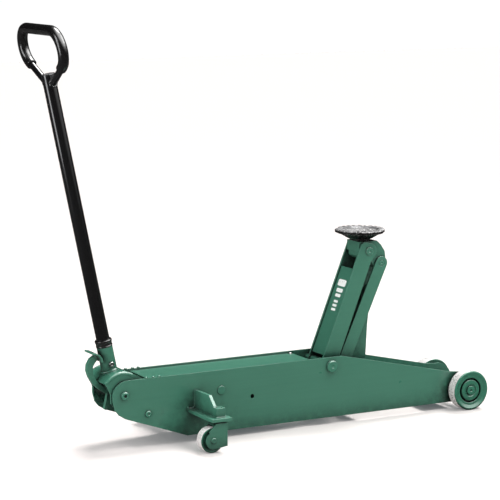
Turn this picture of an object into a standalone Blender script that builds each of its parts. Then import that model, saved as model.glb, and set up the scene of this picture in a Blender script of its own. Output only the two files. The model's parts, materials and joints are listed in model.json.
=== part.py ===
"""Long-chassis hydraulic trolley jack, modelled in millimetres and built in metres.

X runs along the chassis with the front wheels at +X, Y is across, Z is up from the floor.
Positions along X are given from the front axle; FRONT_AXLE_X moves them to the part's origin.
"""
import math

import bmesh
import bpy
from mathutils import Matrix, Vector

MM = 0.001
GAP = 0.3
FIT = 0.4
ROUND_STEPS = 20
FRONT_AXLE_X = 574.4

# Chassis side plates
PLATE_IN = 58.0
PLATE_OUT = 64.0
PLATE_TOP = 175.8
PLATE_PEAK_X = -376.5
PLATE_BOTTOM = 18.0
PLATE_NOSE_R = 45.0
AXLE = (0.0, 53.0)

# Lift arm, head and link, as an exact parallelogram A-B-D-C
ARM_SHAFT = (-410.5, 153.4)
HEAD_PIN = (-281.0, 442.1)
HEAD_OFFSET = (42.1, -35.2)
LINK_TOP = (HEAD_PIN[0] + HEAD_OFFSET[0], HEAD_PIN[1] + HEAD_OFFSET[1])
LINK_FOOT = (ARM_SHAFT[0] + HEAD_OFFSET[0], ARM_SHAFT[1] + HEAD_OFFSET[1])
ARM_EDGE_TILT = math.radians(68.3)
ARM_REAR = 15.2
ARM_FRONT = 31.0
ARM_IN = 31.0
ARM_OUT = 37.0
LINK_IN = 24.5
LINK_OUT = 30.5
LINK_HALF = 17.5
CRANK_R = 80.0
CRANK_FORWARD = math.radians(36.0)
CRANK_ROLLER_R = 13.0
SADDLE_X = -288.0
SADDLE_R = 67.0
SADDLE_BASE = 473.6
SADDLE_TOP = 499.0

# Wheels and casters
WHEEL_R = 53.0
WHEEL_IN = 75.0
WHEEL_OUT = 108.0
CASTER_R = 32.0
CASTER_STEM_X = -800.0
CASTER_TRAIL = 24.0
CASTER_Y = 177.0
CASTER_HALF = 12.5
FORK_IN = 15.0
FORK_OUT = 19.0

# Handle, yoke and pedal
YOKE_PIVOT = (-1003.1, 138.7)
HANDLE_LEAN = math.radians(11.7)
HOOD_R = 57.5
YOKE_HALF = 55.5
SOCKET_R = 20.0
TUBE_R = 16.8
GRIP_HEIGHT = 873.0
GRIP_BEND_R = 47.0
GRIP_BEND_Y = 73.0
GRIP_ROD_R = 8.5
SLEEVE_R = 13.0
YOKE_ROLLER_ARM = 28.0
YOKE_ROLLER_BACK = math.radians(21.5)
YOKE_ROLLER_R = 8.0
PUMP_Y = -37.0
PUMP_Z = 107.0

# Hydraulic unit
RAM_Z = 84.0
BLOCK_REAR = -930.0
BLOCK_FRONT = -850.0
TANK_FRONT = -602.0

GREEN = (0.045, 0.19, 0.125)
WHEEL_GREEN = (0.03, 0.17, 0.10)
BLACK = (0.012, 0.012, 0.013)
STEEL = (0.62, 0.62, 0.6)
DARK_IRON = (0.05, 0.05, 0.052)

for old in list(bpy.data.objects):
    bpy.data.objects.remove(old, do_unlink=True)

jack = bpy.data.collections.new("trolley_jack")
bpy.context.scene.collection.children.link(jack)
cutters = bpy.data.collections.new("cutters")
bpy.context.scene.collection.children.link(cutters)


def material(name, colour, roughness, metallic):
    mat = bpy.data.materials.new(name)
    mat.use_nodes = True
    shader = mat.node_tree.nodes["Principled BSDF"]
    shader.inputs["Base Color"].default_value = (*colour, 1.0)
    shader.inputs["Roughness"].default_value = roughness
    shader.inputs["Metallic"].default_value = metallic
    return mat


green_paint = material("green_paint", GREEN, 0.38, 0.0)
wheel_paint = material("wheel_paint", WHEEL_GREEN, 0.4, 0.0)
black_paint = material("black_paint", BLACK, 0.28, 0.0)
black_rubber = material("black_rubber", BLACK, 0.5, 0.0)
bare_steel = material("bare_steel", STEEL, 0.35, 1.0)
cast_iron = material("cast_iron", DARK_IRON, 0.6, 0.4)


# ---------- small helpers ----------

def place(x, y, z):
    return Vector(((x + FRONT_AXLE_X) * MM, y * MM, z * MM))


def polar(centre, radius, degrees):
    angle = math.radians(degrees)
    return (centre[0] + radius * math.cos(angle), centre[1] + radius * math.sin(angle))


def arc(centre, radius, start, end, steps):
    return [polar(centre, radius, start + (end - start) * i / steps) for i in range(steps + 1)]


def circle(centre, radius, steps=ROUND_STEPS):
    return arc(centre, radius, 0.0, 360.0, steps)[:-1]


def offset(origin, along, across, tilt):
    """Point at distances along and across (to the left of) a direction tilted from +X."""
    ax, az = math.cos(tilt), math.sin(tilt)
    return (origin[0] + along * ax - across * az, origin[1] + along * az + across * ax)


def finish_object(obj, mat, collection=jack):
    obj.data.materials.clear()
    obj.data.materials.append(mat)
    for other in list(obj.users_collection):
        other.objects.unlink(obj)
    collection.objects.link(obj)
    return obj


def flat_curve(name, outlines, thickness):
    data = bpy.data.curves.new(name, "CURVE")
    data.dimensions = "2D"
    data.fill_mode = "BOTH"
    data.extrude = thickness * MM / 2
    for outline in outlines:
        spline = data.splines.new("POLY")
        spline.points.add(len(outline) - 1)
        for point, (u, v) in zip(spline.points, outline):
            point.co = (u * MM, v * MM, 0.0, 1.0)
        spline.use_cyclic_u = True
    return bpy.data.objects.new(name, data)


def side_flat(name, outline, low_y, high_y, mat, holes=()):
    """A flat piece whose outline lies in the XZ plane, from low_y to high_y."""
    shifted = [[(x + FRONT_AXLE_X, z) for x, z in loop] for loop in (outline, *holes)]
    obj = flat_curve(name, shifted, high_y - low_y)
    middle = Matrix.Translation((0, (low_y + high_y) / 2 * MM, 0))
    obj.matrix_world = middle @ Matrix.Rotation(math.pi / 2, 4, "X")
    return finish_object(obj, mat)


def cross_flat(name, outline, low_x, high_x, mat):
    """A flat piece whose outline lies in the YZ plane, from low_x to high_x."""
    obj = flat_curve(name, [outline], high_x - low_x)
    turn = Matrix.Rotation(math.pi / 2, 4, "Z") @ Matrix.Rotation(math.pi / 2, 4, "X")
    obj.matrix_world = Matrix.Translation(place((low_x + high_x) / 2, 0, 0)) @ turn
    return finish_object(obj, mat)


def as_mesh(obj):
    """Replace a curve by the closed mesh it draws, at the same place."""
    bpy.context.view_layer.update()
    evaluated = obj.evaluated_get(bpy.context.evaluated_depsgraph_get())
    data = bpy.data.meshes.new_from_object(evaluated)
    work = bmesh.new()
    work.from_mesh(data)
    bmesh.ops.remove_doubles(work, verts=work.verts, dist=1e-6)
    bmesh.ops.recalc_face_normals(work, faces=work.faces)
    work.to_mesh(data)
    work.free()
    solid = bpy.data.objects.new(obj.name, data)
    solid.matrix_world = obj.matrix_world.copy()
    holder = obj.users_collection[0]
    name = obj.name
    bpy.data.objects.remove(obj, do_unlink=True)
    solid.name = name
    holder.objects.link(solid)
    return solid


def box(name, low, high, mat, edge=0.0):
    data = bpy.data.meshes.new(name)
    work = bmesh.new()
    bmesh.ops.create_cube(work, size=1.0)
    size = [(b - a) * MM for a, b in zip(low, high)]
    bmesh.ops.scale(work, vec=size, verts=work.verts)
    if edge:
        bmesh.ops.bevel(work, geom=work.edges, offset=edge * MM, segments=1, affect="EDGES")
    work.to_mesh(data)
    work.free()
    obj = bpy.data.objects.new(name, data)
    obj.location = place(*((a + b) / 2 for a, b in zip(low, high)))
    return finish_object(obj, mat)


def turned(name, profile, mat, steps=ROUND_STEPS):
    """A lathe shape about local Z; profile is (radius, height), outer side running down."""
    data = bpy.data.meshes.new(name)
    closed = profile[0][0] > 0
    points = [(r * MM, 0.0, h * MM) for r, h in profile]
    edges = [(i, i + 1) for i in range(len(points) - 1)]
    if closed:
        edges.append((len(points) - 1, 0))
    data.from_pydata(points, edges, [])
    obj = bpy.data.objects.new(name, data)
    screw = obj.modifiers.new("turn", "SCREW")
    screw.steps = steps
    screw.render_steps = steps
    screw.use_merge_vertices = True
    screw.merge_threshold = 1e-6
    screw.use_smooth_shade = False
    return finish_object(obj, mat)


def ring(inner, outer, low, high, chamfer=0.0):
    """Profile of a tube; with a chamfer its outer corners are cut."""
    profile = [(inner, high), (outer - chamfer, high)]
    if chamfer:
        profile += [(outer, high - chamfer), (outer, low + chamfer)]
    profile += [(outer - chamfer, low), (inner, low)] if chamfer else [(outer, low), (inner, low)]
    return profile


def rod_profile(radius, low, high, chamfer=1.0):
    return [(0, high), (radius - chamfer, high), (radius, high - chamfer),
            (radius, low + chamfer), (radius - chamfer, low), (0, low)]


TURN_OUT = {1: Matrix.Rotation(-math.pi / 2, 4, "X"), -1: Matrix.Rotation(math.pi / 2, 4, "X")}
TURN_FORWARD = Matrix.Rotation(math.pi / 2, 4, "Y")


def outward(obj, x, z, side):
    """Put a turned piece on a cross axis, its local Z pointing out on the given side."""
    obj.matrix_world = Matrix.Translation(place(x, 0, z)) @ TURN_OUT[side]
    return obj


def forward(obj, y, z):
    """Put a turned piece along X, its local Z being the distance from the front axle."""
    obj.matrix_world = Matrix.Translation(place(0, y, z)) @ TURN_FORWARD
    return obj


def combine(obj, other, operation):
    """Boolean with a helper object, which moves to the cutters and is not built."""
    for holder in list(other.users_collection):
        holder.objects.unlink(other)
    cutters.objects.link(other)
    other.hide_render = True
    other.display_type = "WIRE"
    step = obj.modifiers.new(other.name, "BOOLEAN")
    step.operation = operation
    step.solver = "EXACT"
    step.object = other
    return obj


def bent_rod(name, points, radius, mat, resolution=2):
    data = bpy.data.curves.new(name, "CURVE")
    data.dimensions = "3D"
    data.bevel_depth = radius * MM
    data.bevel_resolution = resolution
    data.use_fill_caps = True
    spline = data.splines.new("POLY")
    spline.points.add(len(points) - 1)
    for point, co in zip(spline.points, points):
        point.co = (*co, 1.0)
    return finish_object(bpy.data.objects.new(name, data), mat)


def ribbon(centre, widths):
    """Outline of a strip that follows a centre line with a given half width at each point."""
    left, right = [], []
    for i, (x, z) in enumerate(centre):
        before = centre[max(i - 1, 0)]
        after = centre[min(i + 1, len(centre) - 1)]
        dx, dz = after[0] - before[0], after[1] - before[1]
        length = math.hypot(dx, dz)
        nx, nz = -dz / length, dx / length
        left.append((x + nx * widths[i], z + nz * widths[i]))
        right.append((x - nx * widths[i], z - nz * widths[i]))
    return left + right[::-1]


SIDES = (("right", -1), ("left", 1))


def span(side, low, high):
    return (low, high) if side > 0 else (-high, -low)


# ---------- chassis ----------

BLOCK_BOLT = (-939.1, 85.8)
TANK_BOLT = (-734.1, 124.3)
SPARE_HOLE = (-644.4, 99.1)
AXLE_R = 12.0
ARM_SHAFT_R = 12.0
YOKE_BOLT_R = 8.0
BLOCK_BOLT_R = 5.0
TANK_BOLT_R = 6.0
SPARE_HOLE_R = 5.5


def chassis_outline():
    tail = [(-1034.0, 127.5), (-1034.0, 144.0), (-1030.6, 154.5), (-1021.8, 164.9),
            (-1012.0, 171.2), (-1002.0, 174.6), (-991.6, PLATE_TOP)]
    slope_end = polar(AXLE, PLATE_NOSE_R, 100.0)
    nose = arc(AXLE, PLATE_NOSE_R, 94.0, -51.0, 12)
    bottom = [(-6.0, PLATE_BOTTOM), (-829.4, PLATE_BOTTOM), (-961.0, 65.0), (-1000.5, 78.8),
              (-1017.0, 89.0), (-1028.0, 103.0)]
    return tail + [(PLATE_PEAK_X, PLATE_TOP + 1.0), (-42.1, 101.3), slope_end] + nose + bottom


plate_holes = [circle(AXLE, AXLE_R + FIT), circle(ARM_SHAFT, ARM_SHAFT_R + FIT),
               circle(YOKE_PIVOT, YOKE_BOLT_R + FIT), circle(BLOCK_BOLT, BLOCK_BOLT_R + FIT, 16),
               circle(TANK_BOLT, TANK_BOLT_R + FIT, 16), circle(SPARE_HOLE, SPARE_HOLE_R, 16)]
for word, side in SIDES:
    low, high = span(side, PLATE_IN, PLATE_OUT)
    side_flat("side_plate_" + word, chassis_outline(), low, high, green_paint, plate_holes)

COVER_REAR = -932.0
COVER_FRONT = -461.0
COVER_TOP = 171.5
COVER_THICK = 4.0
COVER_HALF = PLATE_IN - FIT
box("cover_plate", (COVER_REAR, -COVER_HALF, COVER_TOP - COVER_THICK),
    (COVER_FRONT, COVER_HALF, COVER_TOP), green_paint)
for word, side in SIDES:
    screw = turned("cover_screw_" + word, rod_profile(4.5, 0.0, 3.0), bare_steel, 12)
    screw.location = place(COVER_FRONT - 8.0, side * (COVER_HALF - 7.0), COVER_TOP + GAP)

box("front_cross_plate", (-112.0, -COVER_HALF, PLATE_BOTTOM + 1),
    (-34.0, COVER_HALF, PLATE_BOTTOM + 7), green_paint)

# The axle is a plain bar with a centre dimple at each end.
axle_half = [(0, 104.5), (2.5, 106.5), (10.5, 106.5), (AXLE_R, 105.0)]
axle = turned("front_axle", axle_half + [(r, -h) for r, h in reversed(axle_half)], wheel_paint)
outward(axle, *AXLE, 1)
for word, side in SIDES:
    spacer_profile = ring(AXLE_R + FIT, 19.0, PLATE_OUT + GAP, WHEEL_IN - GAP)
    outward(turned("axle_spacer_" + word, spacer_profile, green_paint), *AXLE, side)

SHAFT_HEAD_R = 15.5
shaft = turned("arm_shaft", [(0, 70.5), (5, 72.5), (13, 72.5), (SHAFT_HEAD_R, 70),
                             (SHAFT_HEAD_R, PLATE_OUT + GAP), (ARM_SHAFT_R, PLATE_OUT + GAP),
                             (ARM_SHAFT_R, -68.0), (0, -68.0)], green_paint)
outward(shaft, *ARM_SHAFT, -1)
nut_profile = ring(ARM_SHAFT_R + FIT, SHAFT_HEAD_R, PLATE_OUT + GAP, 72.5, 1.5)
outward(turned("arm_shaft_nut", nut_profile, green_paint), *ARM_SHAFT, 1)



def bolt_profile(shank_r, inner_end, head_r, head_end, chamfer):
    """A bolt from inside a side plate, with its chamfered head on the plate's outer face."""
    seat = PLATE_OUT + GAP
    return [(0, head_end), (head_r - chamfer, head_end), (head_r, head_end - chamfer), (head_r, seat),
            (shank_r, seat), (shank_r, inner_end), (0, inner_end)]


for word, side in SIDES:
    bolt = turned("yoke_bolt_" + word, bolt_profile(YOKE_BOLT_R, 47.5, 10.5, 72.0, 2.5),
                  green_paint)
    outward(bolt, *YOKE_PIVOT, side)
    bolt = turned("block_bolt_" + word, bolt_profile(BLOCK_BOLT_R, PLATE_IN - 4, 8.5, 69.0, 1.5),
                  green_paint, 16)
    outward(bolt, *BLOCK_BOLT, side)
    bolt = turned("tank_bolt_" + word, bolt_profile(TANK_BOLT_R, PLATE_IN - 6, 11.5, 66.5, 1.0),
                  green_paint)
    outward(bolt, *TANK_BOLT, side)

# The anchor is a cross bar with two lugs that hold the foot of the link between the arm plates.
ANCHOR_LOW_X = -350.0
ANCHOR_HIGH_X = -322.0
ANCHOR_TOP = 40.0
LUG_IN = 9.0
LUG_OUT = 21.5
LINK_PIN_R = 7.0


def lug_outline():
    head = arc(LINK_FOOT, 11.5, 80.0, 250.0, 8)
    return head + [(-352.0, 110.0), (-341.0, 104.0), (-341.0, ANCHOR_TOP - 6),
                   (ANCHOR_HIGH_X - 3, ANCHOR_TOP - 6), (ANCHOR_HIGH_X - 3, 110.0), (-336.0, 124.0)]


anchor = box("link_anchor", (ANCHOR_LOW_X, -COVER_HALF, PLATE_BOTTOM + 2),
             (ANCHOR_HIGH_X, COVER_HALF, ANCHOR_TOP), green_paint)
for word, side in SIDES:
    low, high = span(side, LUG_IN, LUG_OUT)
    lug_hole = circle(LINK_FOOT, LINK_PIN_R + FIT)
    lug = as_mesh(side_flat("lug_" + word, lug_outline(), low, high, green_paint, [lug_hole]))
    combine(anchor, lug, "UNION")
foot_pin = turned("link_foot_pin", rod_profile(LINK_PIN_R, -LINK_OUT, LINK_OUT), bare_steel)
outward(foot_pin, *LINK_FOOT, 1)

# ---------- front wheels ----------

WHEEL_PROFILE = [(AXLE_R + FIT, 103.5), (28.0, 103.0), (29.0, 92.0), (39.5, 92.0), (41.0, WHEEL_OUT),
                 (51.5, WHEEL_OUT), (WHEEL_R, 106.5), (WHEEL_R, 76.5), (51.5, WHEEL_IN),
                 (AXLE_R + FIT, WHEEL_IN)]
for word, side in SIDES:
    outward(turned("front_wheel_" + word, WHEEL_PROFILE, wheel_paint, 32), *AXLE, side)

# ---------- casters ----------

BRACKET_LOW = 79.0
BRACKET_TOP = 87.0
STEM_R = 8.0
CASTER_AXLE_X = CASTER_STEM_X - CASTER_TRAIL
CASTER_AXLE_R = 6.0
FORK_TOP = 74.0


def gusset_outline(side):
    points = [(PLATE_OUT + GAP, BRACKET_TOP - 1), (PLATE_OUT + GAP, 133.0), (143.0, 134.5),
              (168.0, 111.0), (168.0, BRACKET_TOP - 1)]
    return [(side * y, z) for y, z in points]


def fork_outline():
    eye = (CASTER_AXLE_X, CASTER_R)
    nose_x = CASTER_STEM_X + 14.5
    upper = [(nose_x, FORK_TOP), (CASTER_STEM_X - 16.0, FORK_TOP), (CASTER_AXLE_X - 12.0, 54.0)]
    return upper + arc(eye, 21.0, 120.0, 262.0, 10) + [(-812.0, 11.5), (nose_x, 15.5)]


for word, side in SIDES:
    low, high = span(side, PLATE_OUT + GAP, 203.0)
    bracket = box("caster_bracket_" + word, (CASTER_STEM_X - 31, low, BRACKET_LOW),
                  (CASTER_STEM_X + 24, high, BRACKET_TOP), green_paint)
    gusset = cross_flat("gusset_" + word, gusset_outline(side), CASTER_STEM_X - 10, CASTER_STEM_X - 2,
                        green_paint)
    combine(bracket, as_mesh(gusset), "UNION")
    bush = box("bush_" + word, (CASTER_STEM_X - 12, side * CASTER_Y - 12, BRACKET_TOP - 2),
               (CASTER_STEM_X + 12, side * CASTER_Y + 12, 110.0), green_paint)
    combine(bracket, bush, "UNION")
    bore = turned("bore_" + word, rod_profile(STEM_R + FIT, 60.0, 120.0, 0.1), green_paint)
    bore.location = place(CASTER_STEM_X, side * CASTER_Y, 0)
    combine(bracket, bore, "DIFFERENCE")

    fork = as_mesh(side_flat("caster_fork_" + word, fork_outline(), side * CASTER_Y - FORK_OUT,
                             side * CASTER_Y + FORK_OUT, green_paint))
    slot = box("slot_" + word, (CASTER_STEM_X - 70, side * CASTER_Y - FORK_IN, -10),
               (CASTER_STEM_X + 30, side * CASTER_Y + FORK_IN, FORK_TOP - 6), green_paint)
    combine(fork, slot, "DIFFERENCE")
    axle_place = Matrix.Translation(place(CASTER_AXLE_X, side * CASTER_Y, CASTER_R))
    eye = turned("eye_" + word, rod_profile(CASTER_AXLE_R + FIT, -30.0, 30.0, 0.1), green_paint)
    eye.matrix_world = axle_place @ TURN_OUT[1]
    combine(fork, eye, "DIFFERENCE")
    stem_profile = [(0, 109.0), (6.5, 109.0), (STEM_R, 107.5), (STEM_R, FORK_TOP + 3.5),
                    (STEM_R + 5, FORK_TOP + 3.5), (STEM_R + 5, FORK_TOP - 2), (0, FORK_TOP - 2)]
    stem = turned("stem_" + word, stem_profile, green_paint)
    stem.location = place(CASTER_STEM_X, side * CASTER_Y, 0)
    combine(fork, stem, "UNION")

    wheel_profile = [(CASTER_AXLE_R + FIT, CASTER_HALF), (CASTER_R - 1, CASTER_HALF),
                     (CASTER_R, CASTER_HALF - 1), (CASTER_R, 1 - CASTER_HALF),
                     (CASTER_R - 1, -CASTER_HALF), (CASTER_AXLE_R + FIT, -CASTER_HALF)]
    wheel = turned("caster_wheel_" + word, wheel_profile, wheel_paint, 24)
    wheel.matrix_world = axle_place @ TURN_OUT[1]
    rivet_profile = [(0, FORK_OUT + 2.5), (6, FORK_OUT + 2.5), (8, FORK_OUT + 1), (8, FORK_OUT + GAP),
                     (CASTER_AXLE_R, FORK_OUT + GAP), (CASTER_AXLE_R, -FORK_OUT - 1.5),
                     (CASTER_AXLE_R - 1, -FORK_OUT - 2.5), (0, -FORK_OUT - 2.5)]
    rivet = turned("caster_axle_" + word, rivet_profile, green_paint)
    rivet.matrix_world = axle_place @ TURN_OUT[side]

# ---------- handle yoke ----------

YOKE_PLACE = Matrix.Translation(place(YOKE_PIVOT[0], 0, YOKE_PIVOT[1]))
HANDLE_FRAME = YOKE_PLACE @ Matrix.Rotation(-HANDLE_LEAN, 4, "Y")
SOCKET_TOP = 118.7
COLLAR_TOP = 136.0


def on_handle(obj):
    """Put a turned piece on the handle axis, its local Z being the distance from the pivot."""
    obj.matrix_world = HANDLE_FRAME.copy()
    return obj


def hood_outline(radius, lip):
    front = (-950.0 - lip, 176.5 - lip)
    top = arc(YOKE_PIVOT, radius, 146.0, 60.0, 14)
    return top + [front]


HOOD_WALL = 5.0
cheek_foot = arc(YOKE_PIVOT, 38.0, -25.0, -150.0, 8)
outer = hood_outline(HOOD_R, 0.0) + [(-951.0, 170.0), (-972.0, 128.0)] + cheek_foot + [(-1036.0, 143.0)]
inner = hood_outline(HOOD_R - HOOD_WALL, 3.5) + [(-952.0, 60.0), (-1075.0, 60.0), (-1075.0, 176.0)]
yoke = as_mesh(side_flat("handle_yoke", outer, -YOKE_HALF, YOKE_HALF, green_paint))
hollow = side_flat("hood_inside", inner, HOOD_WALL - YOKE_HALF, YOKE_HALF - HOOD_WALL, green_paint)
combine(yoke, as_mesh(hollow), "DIFFERENCE")
socket = turned("socket", rod_profile(SOCKET_R, 54.5, SOCKET_TOP, 0.5), green_paint)
combine(yoke, on_handle(socket), "UNION")
socket_bore = turned("socket_bore", rod_profile(TUBE_R + FIT, 30.0, 150.0, 0.1), green_paint)
combine(yoke, on_handle(socket_bore), "DIFFERENCE")
pivot_bore = turned("pivot_bore", rod_profile(YOKE_BOLT_R + FIT, -70.0, 70.0, 0.1), green_paint)
combine(yoke, outward(pivot_bore, *YOKE_PIVOT, 1), "DIFFERENCE")

ROLLER_ANGLE = -90.0 - math.degrees(YOKE_ROLLER_BACK)
ROLLER_CENTRE = polar(YOKE_PIVOT, YOKE_ROLLER_ARM, ROLLER_ANGLE)
ROLLER_REACH = (27.0, 47.0)
ROLLER_PIN_R = 4.0
pin_bore = turned("roller_pin_bore", rod_profile(ROLLER_PIN_R + FIT, 40.0, 60.0, 0.1), green_paint, 16)
combine(yoke, outward(pin_bore, *ROLLER_CENTRE, -1), "DIFFERENCE")
roller_pin = turned("yoke_roller_pin", rod_profile(ROLLER_PIN_R, 25.5, YOKE_HALF), bare_steel, 16)
outward(roller_pin, *ROLLER_CENTRE, -1)
roller_profile = ring(ROLLER_PIN_R + FIT, YOKE_ROLLER_R, *ROLLER_REACH, 0.8)
outward(turned("yoke_roller", roller_profile, bare_steel), *ROLLER_CENTRE, -1)

collar_profile = ring(TUBE_R + FIT, 21.5, SOCKET_TOP + GAP, COLLAR_TOP, 1.2)
on_handle(turned("handle_collar", collar_profile, black_rubber))

SCREW_HEIGHT = 75.0
screw = turned("retaining_screw", rod_profile(6.0, 0.0, 6.0, 1.2), bare_steel, 12)
screw_place = Matrix.Translation((0, -(SOCKET_R + GAP) * MM, SCREW_HEIGHT * MM))
screw.matrix_world = HANDLE_FRAME @ screw_place @ TURN_OUT[-1]

# ---------- handle ----------

TUBE_LOW = 36.0
TUBE_TOP = 811.0
on_handle(turned("handle_tube", ring(13.6, TUBE_R, TUBE_LOW, TUBE_TOP, 0.6), black_paint))


def grip_path(first_leg_y):
    """Points of the D-shaped grip in the handle's own frame, from the left leg to the right."""
    low_angle = -60.0
    bend = arc((GRIP_BEND_Y, GRIP_HEIGHT), GRIP_BEND_R, low_angle, 90.0, 10)
    slope = math.tan(math.radians(90.0 + low_angle))
    y0, h0 = bend[0]
    leg = (first_leg_y, h0 - (y0 - first_leg_y) * slope)
    half = [leg] + bend
    return half + [(-y, h) for y, h in reversed(half)]


def in_handle(points):
    return [HANDLE_FRAME @ Vector((0, y * MM, h * MM)) for y, h in points]


LEG_START = TUBE_R + 3.0
grip_rod = bent_rod("grip_rod", in_handle(grip_path(LEG_START + 3.0)), GRIP_ROD_R, black_paint)
sleeve = as_mesh(bent_rod("grip_sleeve", in_handle(grip_path(88.0)), SLEEVE_R, black_rubber))
sleeve_bore = as_mesh(bent_rod("sleeve_bore", in_handle(grip_path(60.0)), GRIP_ROD_R + FIT, black_rubber))
combine(sleeve, sleeve_bore, "DIFFERENCE")

# ---------- foot pedal ----------

PEDAL_LINE = [(-1055.0, 229.5), (-1064.0, 222.0), (-1070.5, 211.0), (-1072.0, 199.0), (-1068.5, 185.0),
              (-1061.0, 170.5), (-1047.0, 156.0), (-1031.0, 146.0), (-1014.0, 139.5)]
PEDAL_HALF = [7.0, 8.5, 8.5, 8.0, 7.0, 6.2, 6.2, 7.0, 8.0]
PEDAL_Y = (-11.0, 1.0)
arm_outline = ribbon(PEDAL_LINE, PEDAL_HALF)
pedal_arm = as_mesh(side_flat("pedal_arm", arm_outline, *PEDAL_Y, green_paint))
tail_outline = [(-1012.0, 147.0), (-1024.0, 140.0), (-1033.5, 97.0), (-1029.0, 94.0), (-1003.0, 130.0),
                (-1000.0, 140.0)]
tail = as_mesh(side_flat("pedal_tail", tail_outline, PEDAL_Y[0] + 1, PEDAL_Y[1] - 1, green_paint))
combine(pedal_arm, tail, "UNION")
PEDAL_TOP = [(-1070.0, 243.0), (-1060.0, 241.0), (-1051.0, 236.0), (-1045.5, 229.0), (-1043.0, 219.0)]
side_flat("pedal_plate", ribbon(PEDAL_TOP, [2.2] * len(PEDAL_TOP)), -25.0, 25.0, green_paint)

# ---------- lift arm ----------

CRANK_PIN_R = 6.0
CRANK = polar(ARM_SHAFT, CRANK_R, math.degrees(CRANK_FORWARD) - 90.0)
HEAD_PIN_R = 10.0
LINK_TOP_PIN_R = 8.0
ARM_DEGREES = math.degrees(ARM_EDGE_TILT)


def arm_point(along, across):
    """Point measured from the arm shaft, along the arm's edges and towards its rear."""
    return offset(ARM_SHAFT, along, across, ARM_EDGE_TILT)


def arm_outline_points():
    crank_eye = arc(CRANK, 14.0, -130.0, 10.0, 8)
    under_eye = offset(HEAD_PIN, -24.0, -15.5, ARM_EDGE_TILT)
    top_eye = arc(HEAD_PIN, 21.7, ARM_DEGREES - 110.0, ARM_DEGREES + 5.0, 9)
    rear_corner = offset(HEAD_PIN, 8.0, 17.8, ARM_EDGE_TILT)
    shoulder = arc(rear_corner, 11.0, ARM_DEGREES, ARM_DEGREES + 90.0, 5)
    heel = arc(ARM_SHAFT, ARM_REAR, ARM_DEGREES + 90.0, 232.0, 5)
    return crank_eye + [arm_point(12.0, -ARM_FRONT), under_eye] + top_eye + shoulder + heel


arm_holes = [circle(ARM_SHAFT, ARM_SHAFT_R + FIT), circle(CRANK, CRANK_PIN_R + FIT),
             circle(HEAD_PIN, HEAD_PIN_R + FIT)]
for word, side in SIDES:
    low, high = span(side, ARM_IN, ARM_OUT)
    side_flat("arm_plate_" + word, arm_outline_points(), low, high, green_paint, arm_holes)

WEB_FOOT = 20.0
WEB_HEAD = 258.5
WEB_REAR = ARM_REAR - 3.8
WEB_THICK = 5.0
web_outline = [arm_point(WEB_FOOT, WEB_REAR), arm_point(WEB_FOOT, WEB_REAR - WEB_THICK),
               arm_point(WEB_HEAD, WEB_REAR - WEB_THICK), arm_point(WEB_HEAD, WEB_REAR)]
side_flat("arm_web", web_outline, FIT - ARM_IN, ARM_IN - FIT, green_paint)

crank_pin = turned("crank_pin", rod_profile(CRANK_PIN_R, -ARM_OUT - 2, ARM_OUT + 2), bare_steel)
outward(crank_pin, *CRANK, 1)
crank_roller = turned("crank_roller", ring(CRANK_PIN_R + FIT, CRANK_ROLLER_R, -20.0, 20.0, 1.0), bare_steel)
outward(crank_roller, *CRANK, 1)

# ---------- head ----------

HEAD_REAR = -308.0
HEAD_TOP = 467.0
HEAD_WIDE = ARM_IN - 0.6
HEAD_NARROW = LINK_IN - 0.4
head_under = [(HEAD_REAR, 448.0), (HEAD_REAR + 0.5, 430.0), (-303.0, 424.0), (-296.0, 420.0),
              (-270.0, 420.0), (-262.0, 402.0)]
head_front = [(-226.0, 437.0), (-238.0, 455.0), (-250.0, HEAD_TOP - 1), (-300.0, HEAD_TOP - 1)]
head_body = head_under + arc(LINK_TOP, 17.0, 215.0, 375.0, 9) + head_front
link_hole = circle(LINK_TOP, LINK_TOP_PIN_R + FIT)
head = as_mesh(side_flat("head_block", head_body, -HEAD_NARROW, HEAD_NARROW, green_paint, [link_hole]))
cheek = [(HEAD_REAR - 1, 440.5), (HEAD_REAR - 1, HEAD_TOP), (-256.0, HEAD_TOP), (-250.0, 455.0),
         (-262.0, 440.5)]
cheek_block = as_mesh(side_flat("head_cheeks", cheek, -HEAD_WIDE, HEAD_WIDE, green_paint))
combine(head, cheek_block, "UNION")
through = turned("head_pin_bore", rod_profile(HEAD_PIN_R + FIT, -60.0, 60.0, 0.1), green_paint)
combine(head, outward(through, *HEAD_PIN, 1), "DIFFERENCE")
SADDLE_STUB_R = 14.0
stub_hole = rod_profile(SADDLE_STUB_R + FIT, HEAD_TOP - 9.0, HEAD_TOP + 10.0, 0.1)
stub_bore = turned("stub_bore", stub_hole, green_paint)
stub_bore.location = place(SADDLE_X, 0, 0)
combine(head, stub_bore, "DIFFERENCE")

pin_head = [(0, 40), (10, 40), (11.5, 38.8), (11.5, ARM_OUT + GAP)]
pin_shank = [(HEAD_PIN_R, ARM_OUT + GAP), (HEAD_PIN_R, -ARM_OUT), (0, -ARM_OUT)]
outward(turned("head_pin", pin_head + pin_shank, green_paint), *HEAD_PIN, -1)
outward(turned("head_pin_cap", pin_head + [(0, ARM_OUT + GAP)], green_paint), *HEAD_PIN, 1)

# ---------- link ----------

LINK_TILT = math.atan2(HEAD_PIN[1] - ARM_SHAFT[1], HEAD_PIN[0] - ARM_SHAFT[0])
LINK_DEGREES = math.degrees(LINK_TILT)
bar_top = arc(LINK_TOP, LINK_HALF, LINK_DEGREES - 90.0, LINK_DEGREES + 90.0, 12)
bar_foot = arc(LINK_FOOT, LINK_HALF, LINK_DEGREES + 90.0, LINK_DEGREES + 270.0, 12)
bar_holes = [link_hole, circle(LINK_FOOT, LINK_PIN_R + FIT)]
for word, side in SIDES:
    low, high = span(side, LINK_IN, LINK_OUT)
    side_flat("link_bar_" + word, bar_top + bar_foot, low, high, green_paint, bar_holes)


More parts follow.
